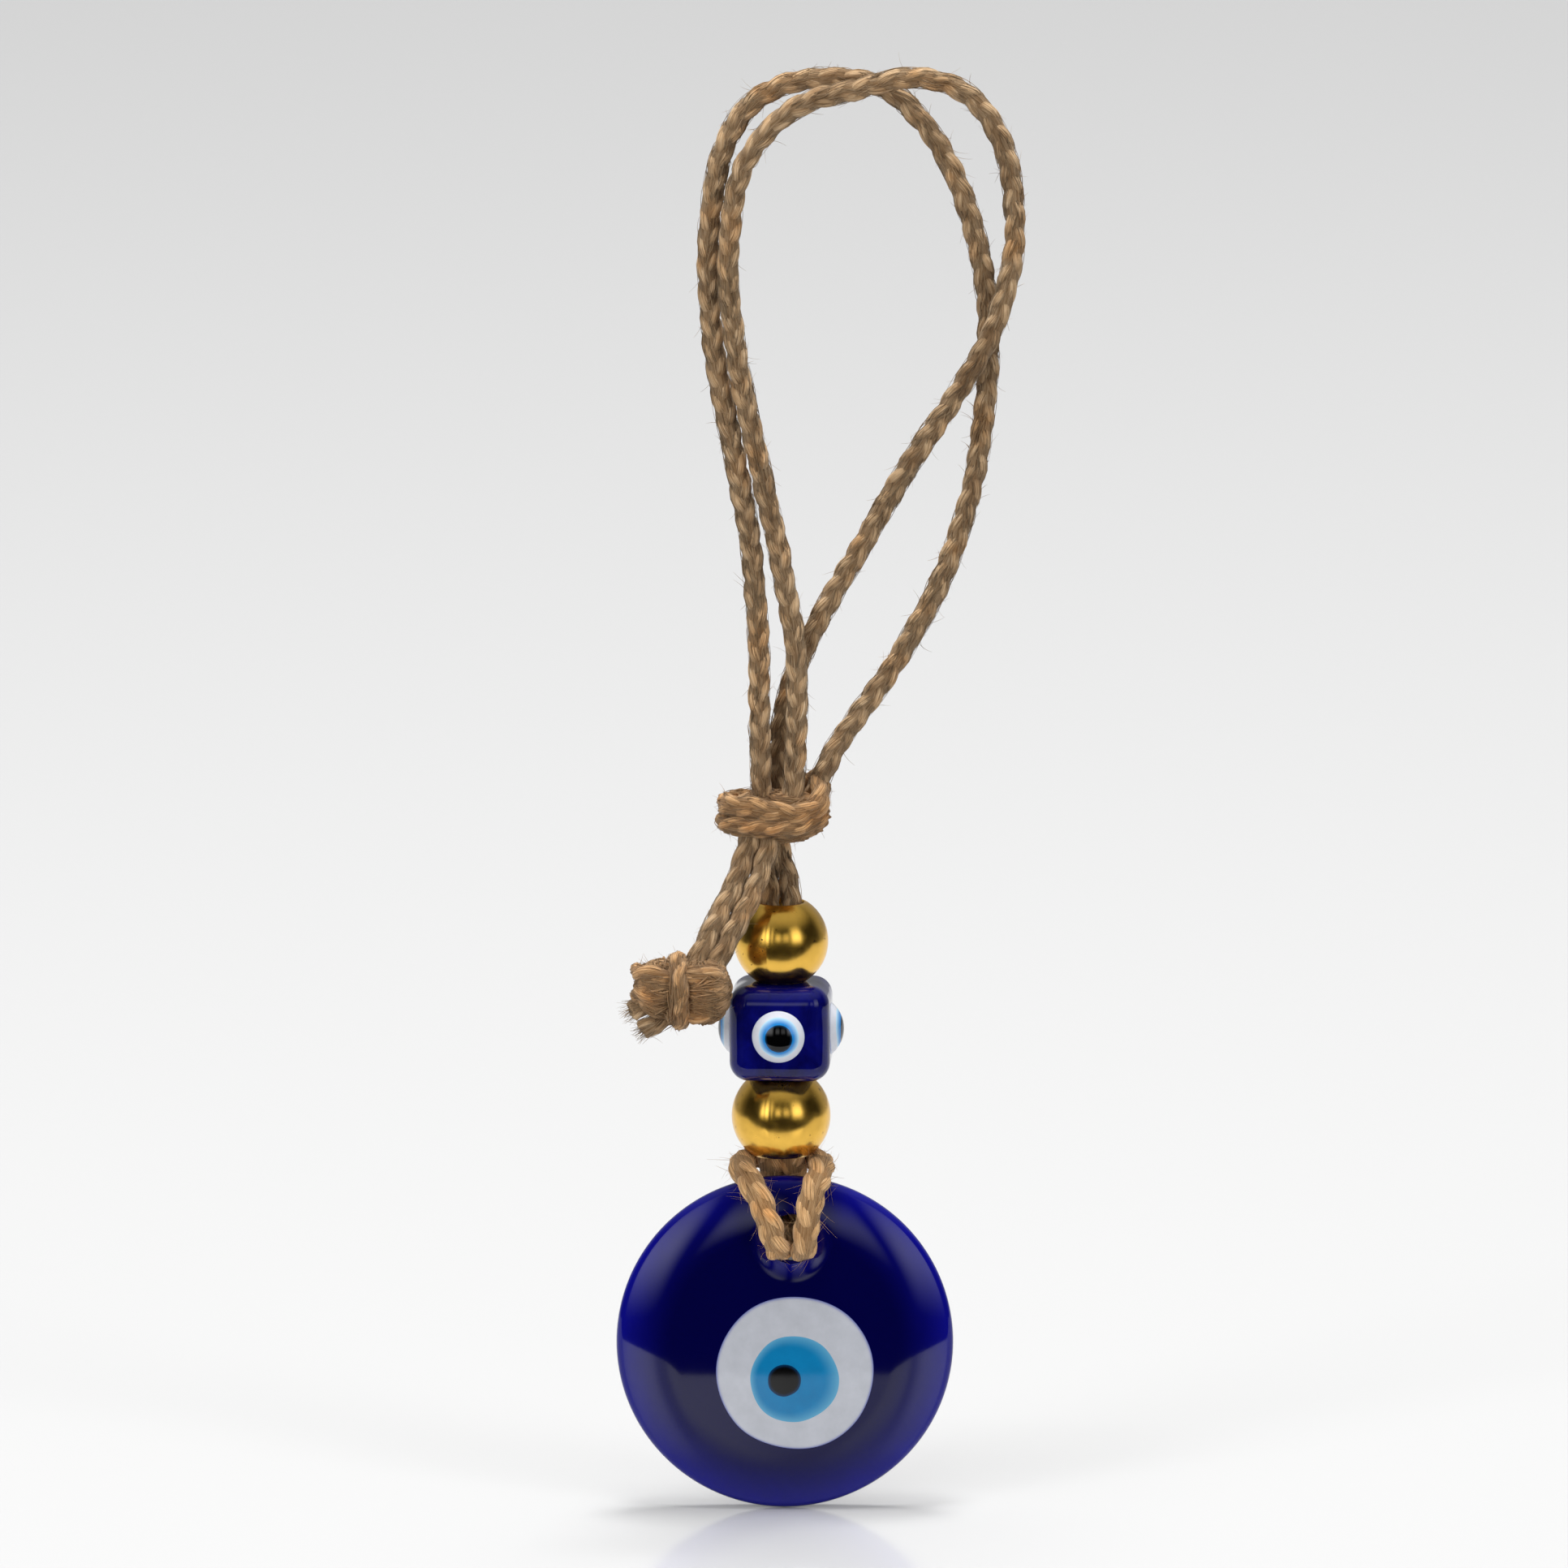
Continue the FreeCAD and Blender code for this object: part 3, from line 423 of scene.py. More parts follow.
def plait(weave, line, depth_way=(0, -1, 0), phase=0.0, fat=1.0):
    """Three plies plaited along a line."""
    cord = bpy.context.scene.ornament_cord
    along, across, through = carried_frame(line, depth_way)
    reach = np.concatenate([[0], np.cumsum(np.linalg.norm(np.diff(line, axis=0), axis=1))])
    drift = 0.25 * np.sin(reach / (23 * MM) + phase * 3) + 0.12 * np.sin(reach / (9.3 * MM) + phase)
    for ply in range(3):
        angle = reach / cord.period * TURN + ply * TURN / 3 + phase + drift
        swing = 1 + 0.09 * np.sin(reach / (6.1 * MM) + ply * 2 + phase)
        places = (line + across * (cord.sway * fat * swing * np.sin(angle))[:, None]
                  + through * (cord.rise * np.sin(2 * angle))[:, None])
        sides = 11
        around = np.arange(sides) / sides * TURN
        swell = fat * (1 + 0.06 * np.sin(reach / (3.7 * MM) + ply + phase * 5))[:, None]
        ridges = 0.035 * np.sin(around * 5 + ply)[None, :] * np.ones((len(line), 1))
        radii = cord.ply_radius * (swell + ridges)
        ply_way = unit(np.gradient(places, axis=0))
        first = unit(through - ply_way * np.sum(through * ply_way, axis=1, keepdims=True))
        second = np.cross(ply_way, first)
        surface = (places[:, None, :] + (first[:, None, :] * np.cos(around)[None, :, None]
                                         + second[:, None, :] * np.sin(around)[None, :, None])
                   * cord.ply_radius)
        out = np.linalg.norm(surface - line[:, None, :], axis=2)
        # Painted shade: the nearer a point of a ply lies to the cord's middle, the darker it is painted.
        painted_shade_mask = np.clip((out / MM - 0.72) / 0.62, 0, 1)
        weave.tube(places, radii, sides, through, painted_shade_mask, start_u=ply * 37.0 + phase * 11)
        lay_fibres(weave, line, places, first, second, int(phase * 100) + ply)
    belly = 0.99 * MM * fat * (1 + 0.04 * np.sin(reach / (4.3 * MM) + phase))
    # The inner core of the cord is painted with shade at 0.4.
    weave.tube(line, belly, 16, through, np.full(len(line), 0.4), start_u=phase * 5, squash=1.27, wraps=2)
    cross_fibres(weave, line, (along, across, through), int(phase * 100) + 7)


def cross_fibres(weave, line, frame, seed, per_mm=2.6):
    """Stray fibres that lie over the plies along the cord."""
    along, across, through = frame
    draw = np.random.default_rng(seed)
    spacing = np.linalg.norm(np.diff(line, axis=0), axis=1).mean()
    total = int(per_mm * spacing * len(line) / MM)
    for _ in range(total):
        reach = draw.uniform(2.5, 8.0) * MM / spacing
        spots = draw.uniform(-reach * 0.3, len(line) - 0.7 * reach) + np.linspace(0, reach, 8)
        spots = np.clip(spots, 0, len(line) - 1).astype(int)
        if spots[-1] - spots[0] < 6:
            continue
        share = np.linspace(0, 1, 8)
        angle = draw.uniform(0, TURN) + draw.uniform(-1.4, 1.4) * share
        lift = 1.0 + draw.uniform(0.02, 0.2) * np.sin(share * math.pi) - 0.12 * (2 * share - 1) ** 6
        way = (across[spots] * (1.32 * np.cos(angle))[:, None]
               + through[spots] * (1.14 * np.sin(angle))[:, None])
        # Each stray fibre is darkened towards the shade colour by a random share.
        weave.tube(line[spots] + way * (lift * MM)[:, None],
                   draw.uniform(0.03, 0.07) * MM * (1 - 0.5 * share), 3,
                   unit(way), np.full(8, draw.uniform(0.25, 1.0)), start_u=draw.uniform(0, 4000))


def wound_fibres(weave, centre, halves, upright, seed, count):
    """Fibres wound round an ellipsoid, about its upright or its lengthwise axis."""
    draw = np.random.default_rng(seed)
    steps = 10
    for _ in range(count):
        angle = draw.uniform(0, TURN) + np.linspace(0, draw.uniform(0.5, 1.9), steps)
        level = np.clip(draw.uniform(-0.95, 0.95) + draw.uniform(-0.25, 0.25) * np.linspace(-1, 1, steps)
                        + 0.05 * np.sin(angle * 3 + draw.uniform(0, 6)), -0.98, 0.98)
        flat = np.sqrt(1 - level ** 2)
        first, second = np.cos(angle) * flat, np.sin(angle) * flat
        way = np.stack((first, second, level) if upright else (level, first, second), axis=1)
        lift = 1.0 + draw.uniform(0.0, 0.08) * np.sin(np.linspace(0, math.pi, steps))
        route = np.array(centre) + way * np.array(halves) * MM * lift[:, None]
        # Each wound fibre is darkened towards the shade colour by a random share.
        weave.tube(route, np.full(steps, draw.uniform(0.07, 0.19) * MM), 3, way,
                   np.full(steps, draw.uniform(0.5, 1.0)), start_u=draw.uniform(0, 4000))


def lay_fibres(weave, line, places, first, second, seed, strands=13):
    """Single fibres that lie on a ply, wander round it and dip in and out of it."""
    cord = bpy.context.scene.ornament_cord
    draw = np.random.default_rng(seed)
    step = 3
    spots = np.arange(0, len(places), step)
    longest = min(len(spots), 60)
    total = int(strands * len(spots) / max(longest * 0.6, 4))
    for _ in range(total):
        count = int(draw.integers(max(longest // 4, 4), longest + 1))
        begin = int(draw.integers(-count // 3, max(len(spots) - count // 2, 1)))
        part = spots[max(begin, 0):begin + count]
        if len(part) < 4:
            continue
        share = np.linspace(0, 1, len(part))
        angle = (draw.uniform(0, TURN) + draw.uniform(-1.2, 1.2) * share
                 + 0.3 * np.sin(share * draw.uniform(4, 14)))
        ripple = np.sin(share * draw.uniform(3, 9) + draw.uniform(0, 6))
        lift = 0.99 + 0.11 * ripple * np.sin(share * math.pi)
        lift = lift - 0.12 * (2 * share - 1) ** 8
        way = (first[part] * np.cos(angle)[:, None] + second[part] * np.sin(angle)[:, None])
        route = places[part] + way * (cord.ply_radius * lift)[:, None]
        out = np.linalg.norm(route - line[part], axis=1)
        # Painted shade by how deep the fibre lies, scaled at random for each fibre.
        painted_shade_mask = np.clip((out / MM - 0.65) / 0.62, 0, 1) * draw.uniform(0.55, 1.1)
        thick = draw.uniform(0.05, 0.1) * MM * (0.6 + 0.4 * np.sin(share * math.pi))
        weave.tube(route, thick, 3, way, painted_shade_mask, start_u=draw.uniform(0, 4000))


def hair(weave, root, way, length, thickness, curl, draw):
    """One loose fibre, a thin tapering three-sided tube."""
    steps = 6
    side = np.cross(way, draw.normal(size=3))
    side = side / np.linalg.norm(side)
    reach = np.linspace(0, 1, steps)
    line = (root[None, :] + way[None, :] * (length * reach)[:, None]
            + side[None, :] * (curl * length * reach ** 2)[:, None])
    radii = thickness * (1 - 0.75 * reach)
    weave.tube(line, radii, 3, np.broadcast_to(side, line.shape), np.ones(steps), draw.uniform(0, 90))


def fluff(weave, line, seed, density=None, longest=2.6):
    """Loose fibres that stand off a cord, mostly lying along it."""
    cord = bpy.context.scene.ornament_cord
    draw = np.random.default_rng(seed)
    length = np.linalg.norm(np.diff(line, axis=0), axis=1).sum() / MM
    along, across, through = carried_frame(line, (0, -1, 0))
    for _ in range(int(length * (cord.fluff if density is None else density))):
        spot = draw.integers(0, len(line))
        angle = draw.uniform(0, TURN)
        out = across[spot] * math.cos(angle) + through[spot] * math.sin(angle) * 0.8
        way = along[spot] * draw.choice((-1, 1)) * draw.uniform(0.5, 1.3) + out * draw.uniform(0.1, 0.8)
        way = way / np.linalg.norm(way)
        root = line[spot] + out * draw.uniform(0.8, 1.2) * MM
        hair(weave, root, way, draw.uniform(0.7, longest) * MM, draw.uniform(0.026, 0.05) * MM,
             draw.uniform(-0.7, 0.7), draw)


def cord_piece(name, route, seed, depth_way=(0, -1, 0), density=None, longest=2.6, fat=1.0, coat=None):
    """A plaited and fluffy cord along a route; returns the piece and its centreline."""
    line = smooth_line(route)
    weave = Weave()
    plait(weave, line, depth_way, phase=seed * 1.7, fat=fat)
    fluff(weave, line, seed, density, longest)
    thing = weave.finish(name)
    dress(thing, coat or jute_material())
    return thing, line


# ------------------------------------------------------------------ materials
def named_material(name):
    """A fresh node material, or None and the old one when it is there already."""
    if name in bpy.data.materials:
        return bpy.data.materials[name], None
    material = bpy.data.materials.new(name)
    material.use_nodes = True
    return material, material.node_tree


class Nodes:
    """Short ways to add and link the nodes of one material."""

    def __init__(self, tree):
        self.tree = tree
        self.shader = tree.nodes["Principled BSDF"]

    def add(self, kind, **values):
        """Adds a node and sets its properties."""
        node = self.tree.nodes.new(kind)
        for name, value in values.items():
            setattr(node, name, value)
        return node

    def link(self, source, target):
        """Links two sockets."""
        self.tree.links.new(source, target)

    def coords(self, kind="Object", scale=(1, 1, 1)):
        """Scaled texture coordinates."""
        mapping = self.add("ShaderNodeMapping")
        mapping.inputs["Scale"].default_value = scale
        if kind == "UV":
            source = self.add("ShaderNodeUVMap", uv_map="fibre").outputs["UV"]
        else:
            source = self.add("ShaderNodeTexCoord").outputs[kind]
        self.link(source, mapping.inputs["Vector"])
        return mapping.outputs["Vector"]

    def noise(self, vector, scale, detail=4.0, roughness=0.6, distortion=0.0):
        """A noise texture's value."""
        node = self.add("ShaderNodeTexNoise")
        node.inputs["Scale"].default_value = scale
        node.inputs["Detail"].default_value = detail
        node.inputs["Roughness"].default_value = roughness
        node.inputs["Distortion"].default_value = distortion
        self.link(vector, node.inputs["Vector"])
        return node.outputs["Fac"]

    def ramp(self, value, *stops):
        """A colour ramp; stops are (place, colour)."""
        node = self.add("ShaderNodeValToRGB")
        elements = node.color_ramp.elements
        while len(elements) < len(stops):
            elements.new(0.5)
        for element, (place, colour) in zip(elements, stops):
            element.position = place
            element.color = (*colour, 1) if len(colour) == 3 else colour
        self.link(value, node.inputs["Fac"])
        return node.outputs["Color"]

    def mix(self, factor, first, second, blend="MIX"):
        """Mixes two colours, each a socket or a colour."""
        node = self.add("ShaderNodeMix", data_type="RGBA", blend_type=blend)
        for socket, value in ((node.inputs[0], factor), (node.inputs[6], first),
                              (node.inputs[7], second)):
            if isinstance(value, bpy.types.NodeSocket):
                self.link(value, socket)
            elif isinstance(value, (int, float)):
                socket.default_value = value
            else:
                socket.default_value = (*value, 1)
        return node.outputs[2]

    def math(self, kind, first, second=0.0, clamp=False):
        """A math node on sockets or numbers."""
        node = self.add("ShaderNodeMath", operation=kind, use_clamp=clamp)
        for socket, value in zip(node.inputs, (first, second)):
            if isinstance(value, bpy.types.NodeSocket):
                self.link(value, socket)
            else:
                socket.default_value = value
        return node.outputs[0]

    def attribute(self, name):
        """A float attribute of the mesh."""
        return self.add("ShaderNodeAttribute", attribute_name=name).outputs["Fac"]

    def bump(self, value, strength, distance):
        """Bump from a value."""
        node = self.add("ShaderNodeBump")
        node.inputs["Strength"].default_value = strength
        node.inputs["Distance"].default_value = distance
        self.link(value, node.inputs["Height"])
        self.link(node.outputs["Normal"], self.shader.inputs["Normal"])


def shine(nodes, **values):
    """Sets constants on the shader's own sockets."""
    for name, value in values.items():
        nodes.shader.inputs[name.replace("_", " ").title().replace("Ior", "IOR")].default_value = value


def jute_material(name="plaited jute", lift=(1, 1, 1)):
    """Plaited jute: lengthwise fibres, painted shade between the plies, warm and pale patches; lift
    multiplies its colour.
    """
    material, tree = named_material(name)
    if tree is None:
        return material
    cord = bpy.context.scene.ornament_cord
    nodes = Nodes(tree)
    fibre = nodes.noise(nodes.coords("UV", (0.25, 24, 1)), 1.0, 5.0, 0.75, 0.4)
    patch = nodes.noise(nodes.coords("Object"), 170, 3.0, 0.55)
    colour = nodes.ramp(fibre, (0.36, tuple(c * 0.22 for c in cord.tan)), (0.45, tuple(cord.tan)),
                        (0.57, tuple(cord.light)), (0.7, (0.8, 0.63, 0.43)))
    warm = nodes.ramp(patch, (0.3, (0.5, 0.42, 0.34)), (0.5, (1, 1, 1)), (0.72, (1.0, 0.76, 0.5)))
    colour = nodes.mix(0.8, colour, warm, "MULTIPLY")
    # Painted shade between the plies: the shade colour is mixed in where the mask is low.
    painted_shade_mask = nodes.math("POWER", nodes.attribute("painted_shade_mask"), 0.8)
    colour = nodes.mix(painted_shade_mask, cord.dark, colour)
    colour = nodes.mix(1.0, colour, lift, "MULTIPLY")
    nodes.link(colour, nodes.shader.inputs["Base Color"])
    shine(nodes, roughness=0.82, specular_ior_level=0.25)
    nodes.shader.inputs["Sheen Weight"].default_value = 0.35
    nodes.shader.inputs["Sheen Roughness"].default_value = 0.5
    nodes.shader.inputs["Sheen Tint"].default_value = (1.0, 0.86, 0.66, 1)
    nodes.bump(fibre, 1.0, 0.2 * MM)
    return material


def gold_material():
    """Metallised gold plastic with a few dark pits and cloudy patches."""
    material, tree = named_material("mirror gold")
    if tree is None:
        return material
    gold = bpy.context.scene.ornament_gold
    nodes = Nodes(tree)
    place = nodes.coords()
    cloud = nodes.noise(place, 320, 5.0, 0.6)
    pits = nodes.noise(place, 1500, 2.0, 0.5)
    pit = nodes.ramp(pits, (0.70, (0, 0, 0)), (0.745, (1, 1, 1)))
    colour = nodes.ramp(cloud, (0.3, tuple(c * 0.82 for c in gold.colour)), (0.6, tuple(gold.colour)))
    colour = nodes.mix(pit, colour, (0.09, 0.045, 0.02))
    nodes.link(colour, nodes.shader.inputs["Base Color"])
    rough = nodes.ramp(cloud, (0.35, (0.17, 0.17, 0.17)), (0.75, (0.3, 0.3, 0.3)))
    nodes.link(rough, nodes.shader.inputs["Roughness"])
    nodes.shader.inputs["Metallic"].default_value = 1.0
    nodes.bump(nodes.noise(place, 260, 3.0, 0.5), 0.25, 0.05 * MM)
    return material


def glass_material(name, colour_of, roughness=0.03, **sockets):
    """Polished glass with its own colour nodes; colour_of gets the node helper."""
    material, tree = named_material(name)
    if tree is None:
        return material
    nodes = Nodes(tree)
    nodes.link(colour_of(nodes), nodes.shader.inputs["Base Color"])
    nodes.shader.inputs["Roughness"].default_value = roughness
    nodes.shader.inputs["IOR"].default_value = 1.52
    for socket, value in sockets.items():
        nodes.shader.inputs[socket.replace("_", " ")].default_value = value
    nodes.bump(nodes.noise(nodes.coords(), 120, 2.0, 0.4), 0.12, 0.1 * MM)
    return material


def navy_material():
    """The disc's glass: navy in the thick middle, painted lighter cobalt towards the rim and the hole,
    where light would shine through thin glass.
    """
    glass = bpy.context.scene.ornament_glass

    def colour(nodes):
        """Navy to a painted cobalt glow by how thin the glass is, with a swirl of the glass itself in it.
        """
        thin = nodes.attribute("thin")
        swirl = nodes.noise(nodes.coords("Object", (1, 1, 0.5)), 130, 4.0, 0.6, 1.2)
        streak = nodes.math("MULTIPLY", swirl, 0.5)
        painted_glow_share = nodes.math("MULTIPLY", thin, nodes.math("ADD", streak, 0.6), clamp=True)
        return nodes.mix(painted_glow_share, glass.navy, glass.cobalt)

    return glass_material("navy glass", colour, 0.06, Specular_IOR_Level=0.35)


def dab_material(name, colour, edge_colour):
    """Opaque glass of a dab, melted into its surroundings at the edge."""
    def mixed(nodes):
        """The dab's cloudy colour, which turns into the edge colour."""
        cloud = nodes.noise(nodes.coords(), 420, 4.0, 0.6)
        tint = nodes.ramp(cloud, (0.3, tuple(c * 0.88 for c in colour)), (0.7, tuple(colour)))
        return nodes.mix(nodes.attribute("edge"), tint, edge_colour)

    return glass_material(name, mixed, 0.06, Specular_IOR_Level=0.4)


def cobalt_material():
    """Translucent cobalt glass of the cube bead."""
    def colour(nodes):
        """Dark and lighter clouds of cobalt."""
        cloud = nodes.noise(nodes.coords(), 240, 4.0, 0.6, 0.8)
        return nodes.ramp(cloud, (0.3, (0.001, 0.001, 0.055)), (0.7, (0.003, 0.004, 0.15)))

    return glass_material("cobalt glass", colour, 0.05, Transmission_Weight=0.12, Specular_IOR_Level=0.35)


# ------------------------------------------------------------------ operators
class ORNAMENT_OT_hanging_loop(bpy.types.Operator):
    """Makes the two turns of the hanging loop"""
    bl_idname = "ornament.hanging_loop"
    bl_label = "Hanging loop"

    def execute(self, context):
        """Builds both turns, each from the main knot round to the main knot."""
        for name, route, seed in (("loop_outer", LOOP_OUTER, 1), ("loop_inner", LOOP_INNER, 2)):
            piece, line = cord_piece(f"{name}_cord", route, seed)
            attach(piece, "hanging_loop")
            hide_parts(name)
            tuple(line[0])
            line_length(line)
            [tuple(p) for p in line]
        return {"FINISHED"}


def line_length(line):
    """Length of a polyline in metres."""
    return float(np.linalg.norm(np.diff(line, axis=0), axis=1).sum())


class ORNAMENT_OT_main_knot(bpy.types.Operator):
    """Makes the main knot"""
    bl_idname = "ornament.main_knot"
    bl_label = "Main knot"

    def execute(self, context):
        """Two turns of cord round a core, which painted shade darkens a little."""
        weave = Weave()
        for seed, route in enumerate((KNOT_UPPER_TURN, KNOT_LOWER_TURN), start=3):
            line = smooth_line(route)
            plait(weave, line, facing(line, KNOT), phase=seed)
            fluff(weave, line, seed, 4.0)
        weave.tube(*ball_of_cord(KNOT, (6.6, 4.9, 3.6)))
        wound_fibres(weave, KNOT, (6.6, 4.9, 3.6), True, 31, 260)
        piece = weave.finish("main_knot_turns")
        dress(piece, jute_material("knotted jute", (1.0, 0.86, 0.7)))
        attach(piece, "hanging_loop")
        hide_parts("main_knot")
        return {"FINISHED"}


def facing(line, centre):
    """The way out from a knot's centre where a turn of it starts."""
    out = Vector(line[0]) - centre
    return tuple(out.normalized()) if out.length > 0 else (0, -1, 0)


def ball_of_cord(centre, halves):
    """Arguments of a tube that fills a knot's inside."""
    count = 18
    angles = np.linspace(0.03, math.pi - 0.03, count)
    line = np.array(centre)[None, :] + np.stack([-np.cos(angles) * halves[0] * MM,
                                                 np.zeros(count), np.zeros(count)], axis=1)
    radii = np.sin(angles) ** 0.7 * halves[1] * MM
    way = np.broadcast_to(np.array([0.0, 1.0, 0.0]), line.shape)
    # The core is painted with a little shade, at 0.92 of the mask.
    return line, radii, 24, way, np.full(count, 0.92), 0.0, halves[2] / halves[1], 8


class ORNAMENT_OT_neck(bpy.types.Operator):
    """Makes the two strands between the main knot and the hitch"""
    bl_idname = "ornament.neck"
    bl_label = "Neck strands"

    def execute(self, context):
        """Each strand is a plaited cord along its route under the main knot."""
        for name, route, seed in (("neck_strand_left", NECK_LEFT, 5), ("neck_strand_right", NECK_RIGHT, 6)):
            piece, _line = cord_piece(f"{name}_cord", route, seed, density=0.5)
            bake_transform(piece)
            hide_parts(name)
        return {"FINISHED"}


class ORNAMENT_OT_hitch(bpy.types.Operator):
    """Makes the hitch that holds the disc"""
    bl_idname = "ornament.hitch"
    bl_label = "Hitch"

    def execute(self, context):
        """One cord between the bead and the glass."""
        piece, _line = cord_piece("hitch_turns", HITCH, 7, density=8.0, longest=4.4, fat=1.26,
                                  coat=jute_material("pale plaited jute", (1.3, 1.18, 1.0)))
        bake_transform(piece)
        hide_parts("hitch_cord")
        return {"FINISHED"}


class ORNAMENT_OT_tail(bpy.types.Operator):
    """Makes the tail with its stopper knot"""
    bl_idname = "ornament.tail"
    bl_label = "Tail"

    def execute(self, context):
        """Two cords that run into the stopper knot and end in brushes of fibre."""
        knot = self.stopper()
        for side, route, seed in (("left", TAIL_LEFT, 8), ("right", TAIL_RIGHT, 9)):
            line = smooth_line(route)
            weave = Weave()
            plait(weave, line, phase=seed * 1.7)
            fluff(weave, line, seed, 2.2)
            self.brush(weave, line, seed)
            piece = weave.finish(f"tail_{side}_cord")
            dress(piece, jute_material())
            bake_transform(piece)
            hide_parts(f"tail_strand_{side}", f"cord_end_{side}")
            line_length(line)
        return {"FINISHED"}

    def stopper(self):
        """The turns of the stopper knot round a core."""
        weave = Weave()
        for seed, route in enumerate(STOPPER_TURNS, start=20):
            line = smooth_line(route)
            plait(weave, line, facing(line, STOPPER), phase=seed)
            fluff(weave, line, seed, 3.0)
        for seed, (place, halves, count) in enumerate(STOPPER_LOBES, start=51):
            centre = Vector(place) * MM
            weave.tube(*ball_of_cord(centre, halves))
            wound_fibres(weave, centre, halves, True, seed, count)
        wound_fibres(weave, Vector((-26.2, -8.8, -119.0)) * MM, (2.2, 4.9, 4.6), False, 57, 300)
        knot = weave.finish("stopper_knot_turns")
        dress(knot, jute_material("knotted jute", (1.0, 0.86, 0.7)))
        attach(knot, "tail")
        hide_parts("stopper_knot")
        return knot

    def brush(self, weave, line, seed):
        """Frayed fibres at the cut end of a cord."""
        draw = np.random.default_rng(seed + 40)
        end = line[-1]
        way = line[-1] - line[-6]
        way = way / np.linalg.norm(way)
        for _ in range(90):
            spread = draw.normal(size=3)
            spread -= way * spread.dot(way)
            root = end - way * draw.uniform(0.4, 1.6) * MM + spread * 0.5 * MM
            lean = way + spread * draw.uniform(0.05, 0.3)
            hair(weave, root, lean / np.linalg.norm(lean), draw.uniform(1.0, 2.6) * MM,
                 draw.uniform(0.03, 0.07) * MM, draw.uniform(-0.3, 0.3), draw)


class ORNAMENT_OT_gold_beads(bpy.types.Operator):
    """Makes the two gold beads"""
    bl_idname = "ornament.gold_beads"
    bl_label = "Gold beads"

    def execute(self, context):
        """Turned balls with flat ends, a bore and two mould seams."""
        for name in ("lower_gold_bead", "upper_gold_bead"):
            low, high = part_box(name)
            centre = (low + high) / 2
            ball = (high.x - low.x) / 2
            half = (high.z - low.z) / 2
            bore = 3.1 * MM
            tilt = math.degrees(math.asin(half / ball))
            rim = math.sqrt(ball ** 2 - half ** 2)
            outline = arc((0, 0), ball, -tilt + 1.5, tilt - 1.5, 60)
            outline += [(rim - 0.1 * MM, half), (bore + 0.06 * MM, half), (bore, half - 0.08 * MM),
                        (bore, -half + 0.08 * MM), (bore + 0.06 * MM, -half), (rim - 0.1 * MM, -half)]
            piece = spun(f"{name}_shell", outline, centre, 128)
            self.seam(piece, centre, context.scene.ornament_gold.seam)
            settle(piece, angle=40)
            dress(piece, gold_material())
            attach(piece, "lower_bead" if name.startswith("lower") else "upper_bead")
            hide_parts(name)
        return {"FINISHED"}

    def seam(self, piece, centre, rise):
        """Raises the meridians where the mould's halves met."""
        for vertex in piece.data.vertices:
            out = vertex.co - centre
            out.z = 0
            if out.length < 4.2 * MM:
                continue
            angle = math.degrees(math.atan2(out.x, -out.y)) + 17.6
            if abs((angle + 90) % 180 - 90) < 1.5:
                vertex.co += out.normalized() * rise


class ORNAMENT_OT_cube_bead(bpy.types.Operator):
    """Makes the glass cube bead"""
    bl_idname = "ornament.cube_bead"
    bl_label = "Cube bead"

    def execute(self, context):
        """A rounded glass cube, slightly uneven, with a bore through it."""
        low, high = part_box("cube_bead")
        half = Vector((6.7 * MM, 6.7 * MM, (high.z - low.z) / 2))
        bpy.ops.object.select_all(action="DESELECT")
        bpy.ops.mesh.primitive_cube_add(size=2)
        cube = bpy.context.object
        cube.name = "cobalt_cube"
        bpy.ops.object.mode_set(mode="EDIT")
        bpy.ops.mesh.select_all(action="SELECT")
        bpy.ops.mesh.subdivide(number_cuts=35)
        bpy.ops.object.mode_set(mode="OBJECT")
        edge = 2.6 * MM
        for vertex in cube.data.vertices:
            place = Vector(vertex.co[i] * half[i] for i in range(3))
            core = Vector(max(-half[i] + edge, min(half[i] - edge, place[i])) for i in range(3))
            out = place - core
            if out.length > 0:
                place = core + out.normalized() * edge
            wobble = noise.noise(place * 160 + Vector((3, 1, 2))) * 0.12 * MM
            vertex.co = place + place.normalized() * wobble
        cube.data.transform(Matrix.Translation(CUBE) @ Matrix.Rotation(math.radians(-3), 4, "Z"))
        bpy.ops.mesh.primitive_cylinder_add(vertices=64, radius=3.1 * MM, depth=4 * half.z, location=CUBE)
        cut_with(cube, bpy.context.object)
        outward(cube)
        settle(cube, angle=35)
        dress(cube, cobalt_material())
        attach(cube, "cube")
        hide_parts("cube_bead")
        return {"FINISHED"}


